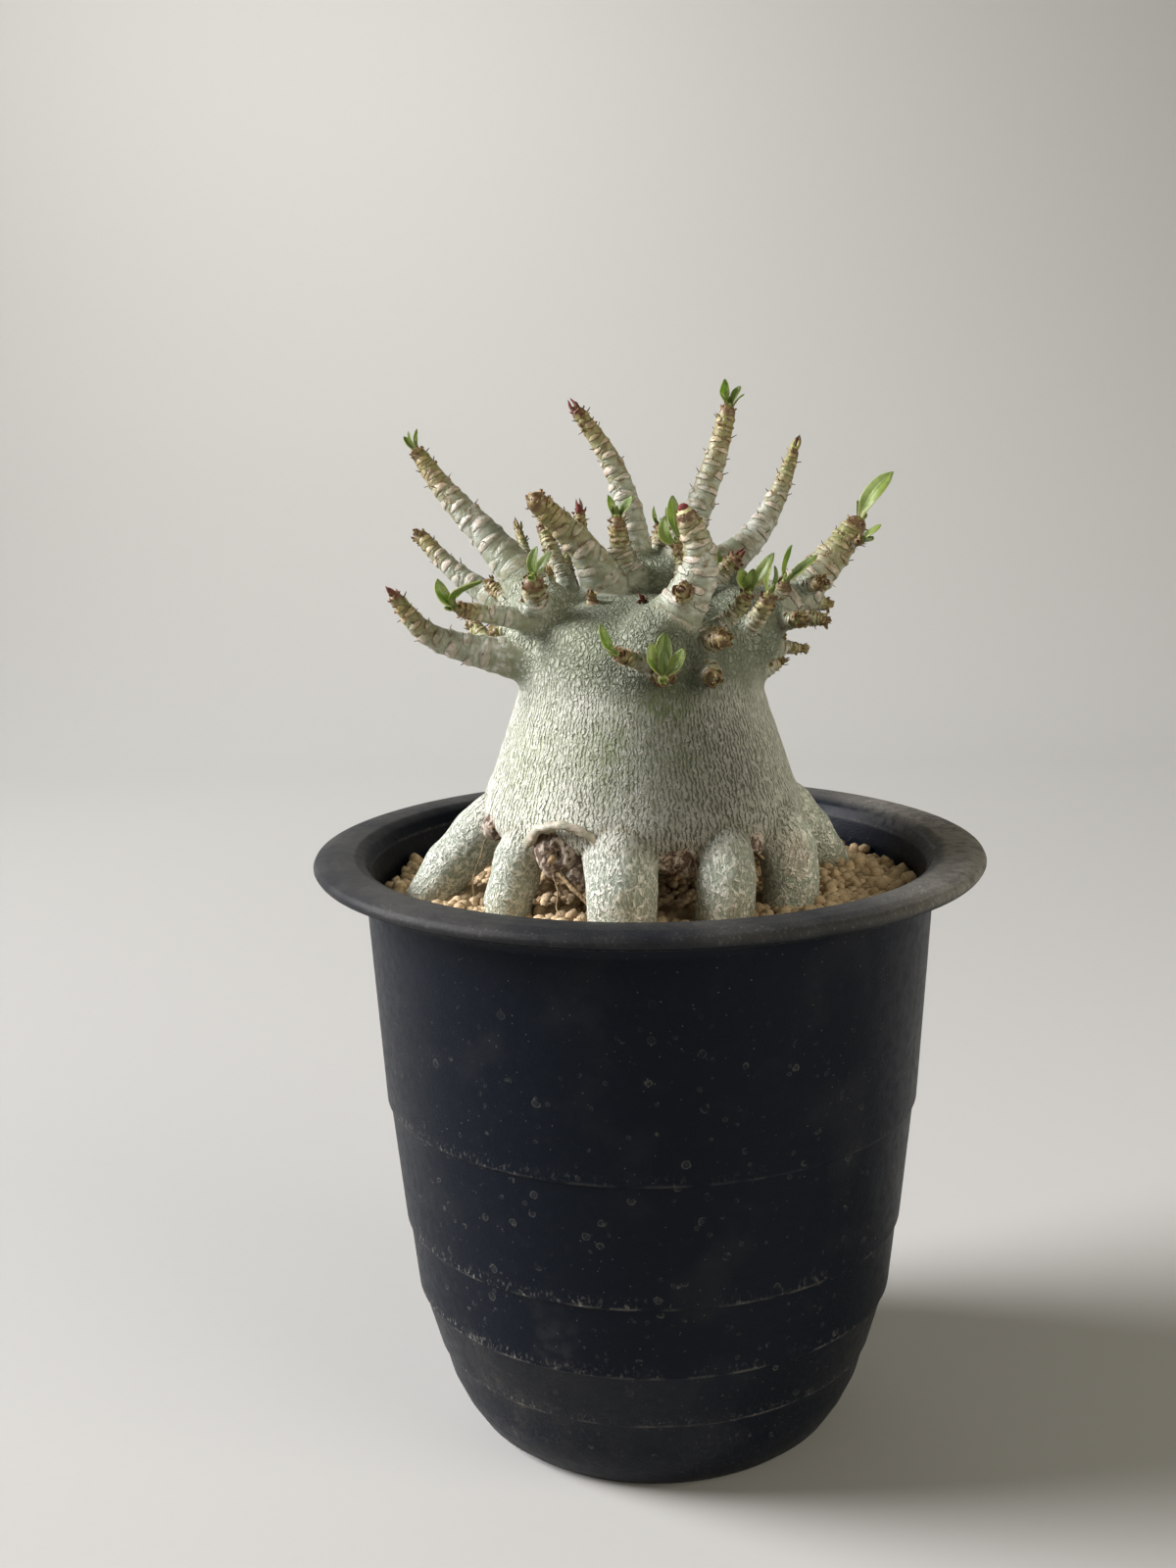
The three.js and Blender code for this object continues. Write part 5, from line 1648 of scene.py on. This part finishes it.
class ROSE_OT_grit(bpy.types.Operator):
    """Lay the potting grit"""
    bl_idname = "desert_rose.grit"
    bl_label = "Grit"

    def execute(self, context):
        settings = context.scene.rose_grit
        mesh = grit_pieces(settings.grain_size / MM)
        finished("potting_grit", mesh, grit_finish(settings), ("grit",))
        return {"FINISHED"}


class ROSE_OT_plant(bpy.types.Operator):
    """Grow the stem base, roots and branches as one skin"""
    bl_idname = "desert_rose.plant"
    bl_label = "Plant"

    def execute(self, context):
        settings = context.scene.rose_plant
        roots, branches = root_limbs(), branch_limbs()
        skin, points, found = plant_skin(settings.skin_pitch / MM, roots, branches)
        moved, marks = plant_relief(settings.scar_depth / MM, points, outward(skin), found, roots, branches)
        set_coordinates(skin, moved)
        for name, values in marks.items():
            keep(skin, name, values)
        finished("plant_body", skin, bark_finish(settings), ("plant",))
        return {"FINISHED"}


class ROSE_OT_dry_parts(bpy.types.Operator):
    """Add the cork and its flakes, the dry stubs and bracts, the front bud and the root threads"""
    bl_idname = "desert_rose.dry_parts"
    bl_label = "Dry parts"

    def execute(self, context):
        dry = dry_finish()
        bark = bpy.data.materials.get("bark_skin") or bark_finish(context.scene.rose_plant)
        branches = branch_limbs()
        finished("cork_lumps", cork_mesh(), bark)
        finished("bark_flakes", cork_flakes(), dry)
        finished("stalk_stubs_and_bracts", dry_parts(branches), dry)
        finished("front_bud", bud_mesh(branches), dry)
        finished("root_threads", thread_mesh(), dry)
        return {"FINISHED"}


class ROSE_OT_leaves(bpy.types.Operator):
    """Unfold the leaf tufts"""
    bl_idname = "desert_rose.leaves"
    bl_label = "Leaf tufts"

    def execute(self, context):
        settings = context.scene.rose_leaves
        material = leaf_finish(settings)
        branches = branch_limbs()
        for number in range(len(LEAF_TUFTS)):
            mesh = tuft_mesh(number, branches, settings.thickness / MM)
            finished(f"leaves_{number + 1}", mesh, material, (f"leaf_tuft_{number + 1}",))
        return {"FINISHED"}


class ROSE_OT_stage(bpy.types.Operator):
    """Set the floor, the backdrop, the lights and the camera"""
    bl_idname = "desert_rose.stage"
    bl_label = "Stage"

    def execute(self, context):
        settings = context.scene.rose_stage
        mesh = sweep_mesh()
        mesh.shade_smooth()
        mesh.materials.append(paper_finish(settings))
        sweep = bpy.data.objects.new("studio_sweep", mesh)
        context.scene.collection.objects.link(sweep)

        middle = (0, 0, 0.19)
        add_light("key_left", (-2.2, 0.12, 1.32), middle, 1.4, settings.key_power, (1.0, 0.985, 1.0), 70)
        add_light("fill_right", (1.2, -0.9, 0.7), middle, 1.2, settings.fill_power, (1.0, 0.93, 0.78))
        add_light("back_wash", (-0.6, 0.35, 2.0), (-0.3, 1.75, 0.8), 0.8, WASH_POWER, (1.0, 0.99, 0.97), 90)
        world = bpy.data.worlds.new("soft_room")
        world.use_nodes = True
        room = world.node_tree.nodes["Background"].inputs
        room["Color"].default_value, room["Strength"].default_value = ROOM_COLOUR, ROOM_STRENGTH
        context.scene.world = world
        context.scene.view_settings.view_transform = "Standard"
        add_camera()
        return {"FINISHED"}


class ROSE_PT_panel(bpy.types.Panel):
    """Lists the steps that build the potted plant"""
    bl_idname = "ROSE_PT_panel"
    bl_label = "Potted desert rose"
    bl_space_type = "VIEW_3D"
    bl_region_type = "UI"
    bl_category = "Desert rose"

    def draw(self, context):
        for group, _ in SETTINGS:
            settings = getattr(context.scene, group)
            for name in settings.bl_rna.properties.keys():
                if name not in ("rna_type", "name"):
                    self.layout.prop(settings, name)
        for operator in OPERATORS:
            self.layout.operator(operator.bl_idname)


SETTINGS = [
    ("rose_pot", PotSettings),
    ("rose_grit", GritSettings),
    ("rose_plant", PlantSettings),
    ("rose_leaves", LeafSettings),
    ("rose_stage", StageSettings),
]
OPERATORS = [ROSE_OT_pot, ROSE_OT_grit, ROSE_OT_plant, ROSE_OT_dry_parts, ROSE_OT_leaves, ROSE_OT_stage]


def register():
    for name, group in SETTINGS:
        bpy.utils.register_class(group)
        setattr(bpy.types.Scene, name, bpy.props.PointerProperty(type=group))
    for operator in OPERATORS:
        bpy.utils.register_class(operator)
    bpy.utils.register_class(ROSE_PT_panel)


def unregister():
    bpy.utils.unregister_class(ROSE_PT_panel)
    for operator in reversed(OPERATORS):
        bpy.utils.unregister_class(operator)
    for name, group in reversed(SETTINGS):
        delattr(bpy.types.Scene, name)
        bpy.utils.unregister_class(group)


def main():
    register()
    bpy.ops.desert_rose.pot()
    bpy.ops.desert_rose.grit()
    bpy.ops.desert_rose.plant()
    bpy.ops.desert_rose.dry_parts()
    bpy.ops.desert_rose.leaves()
    bpy.ops.desert_rose.stage()


if __name__ == "__main__":
    main()
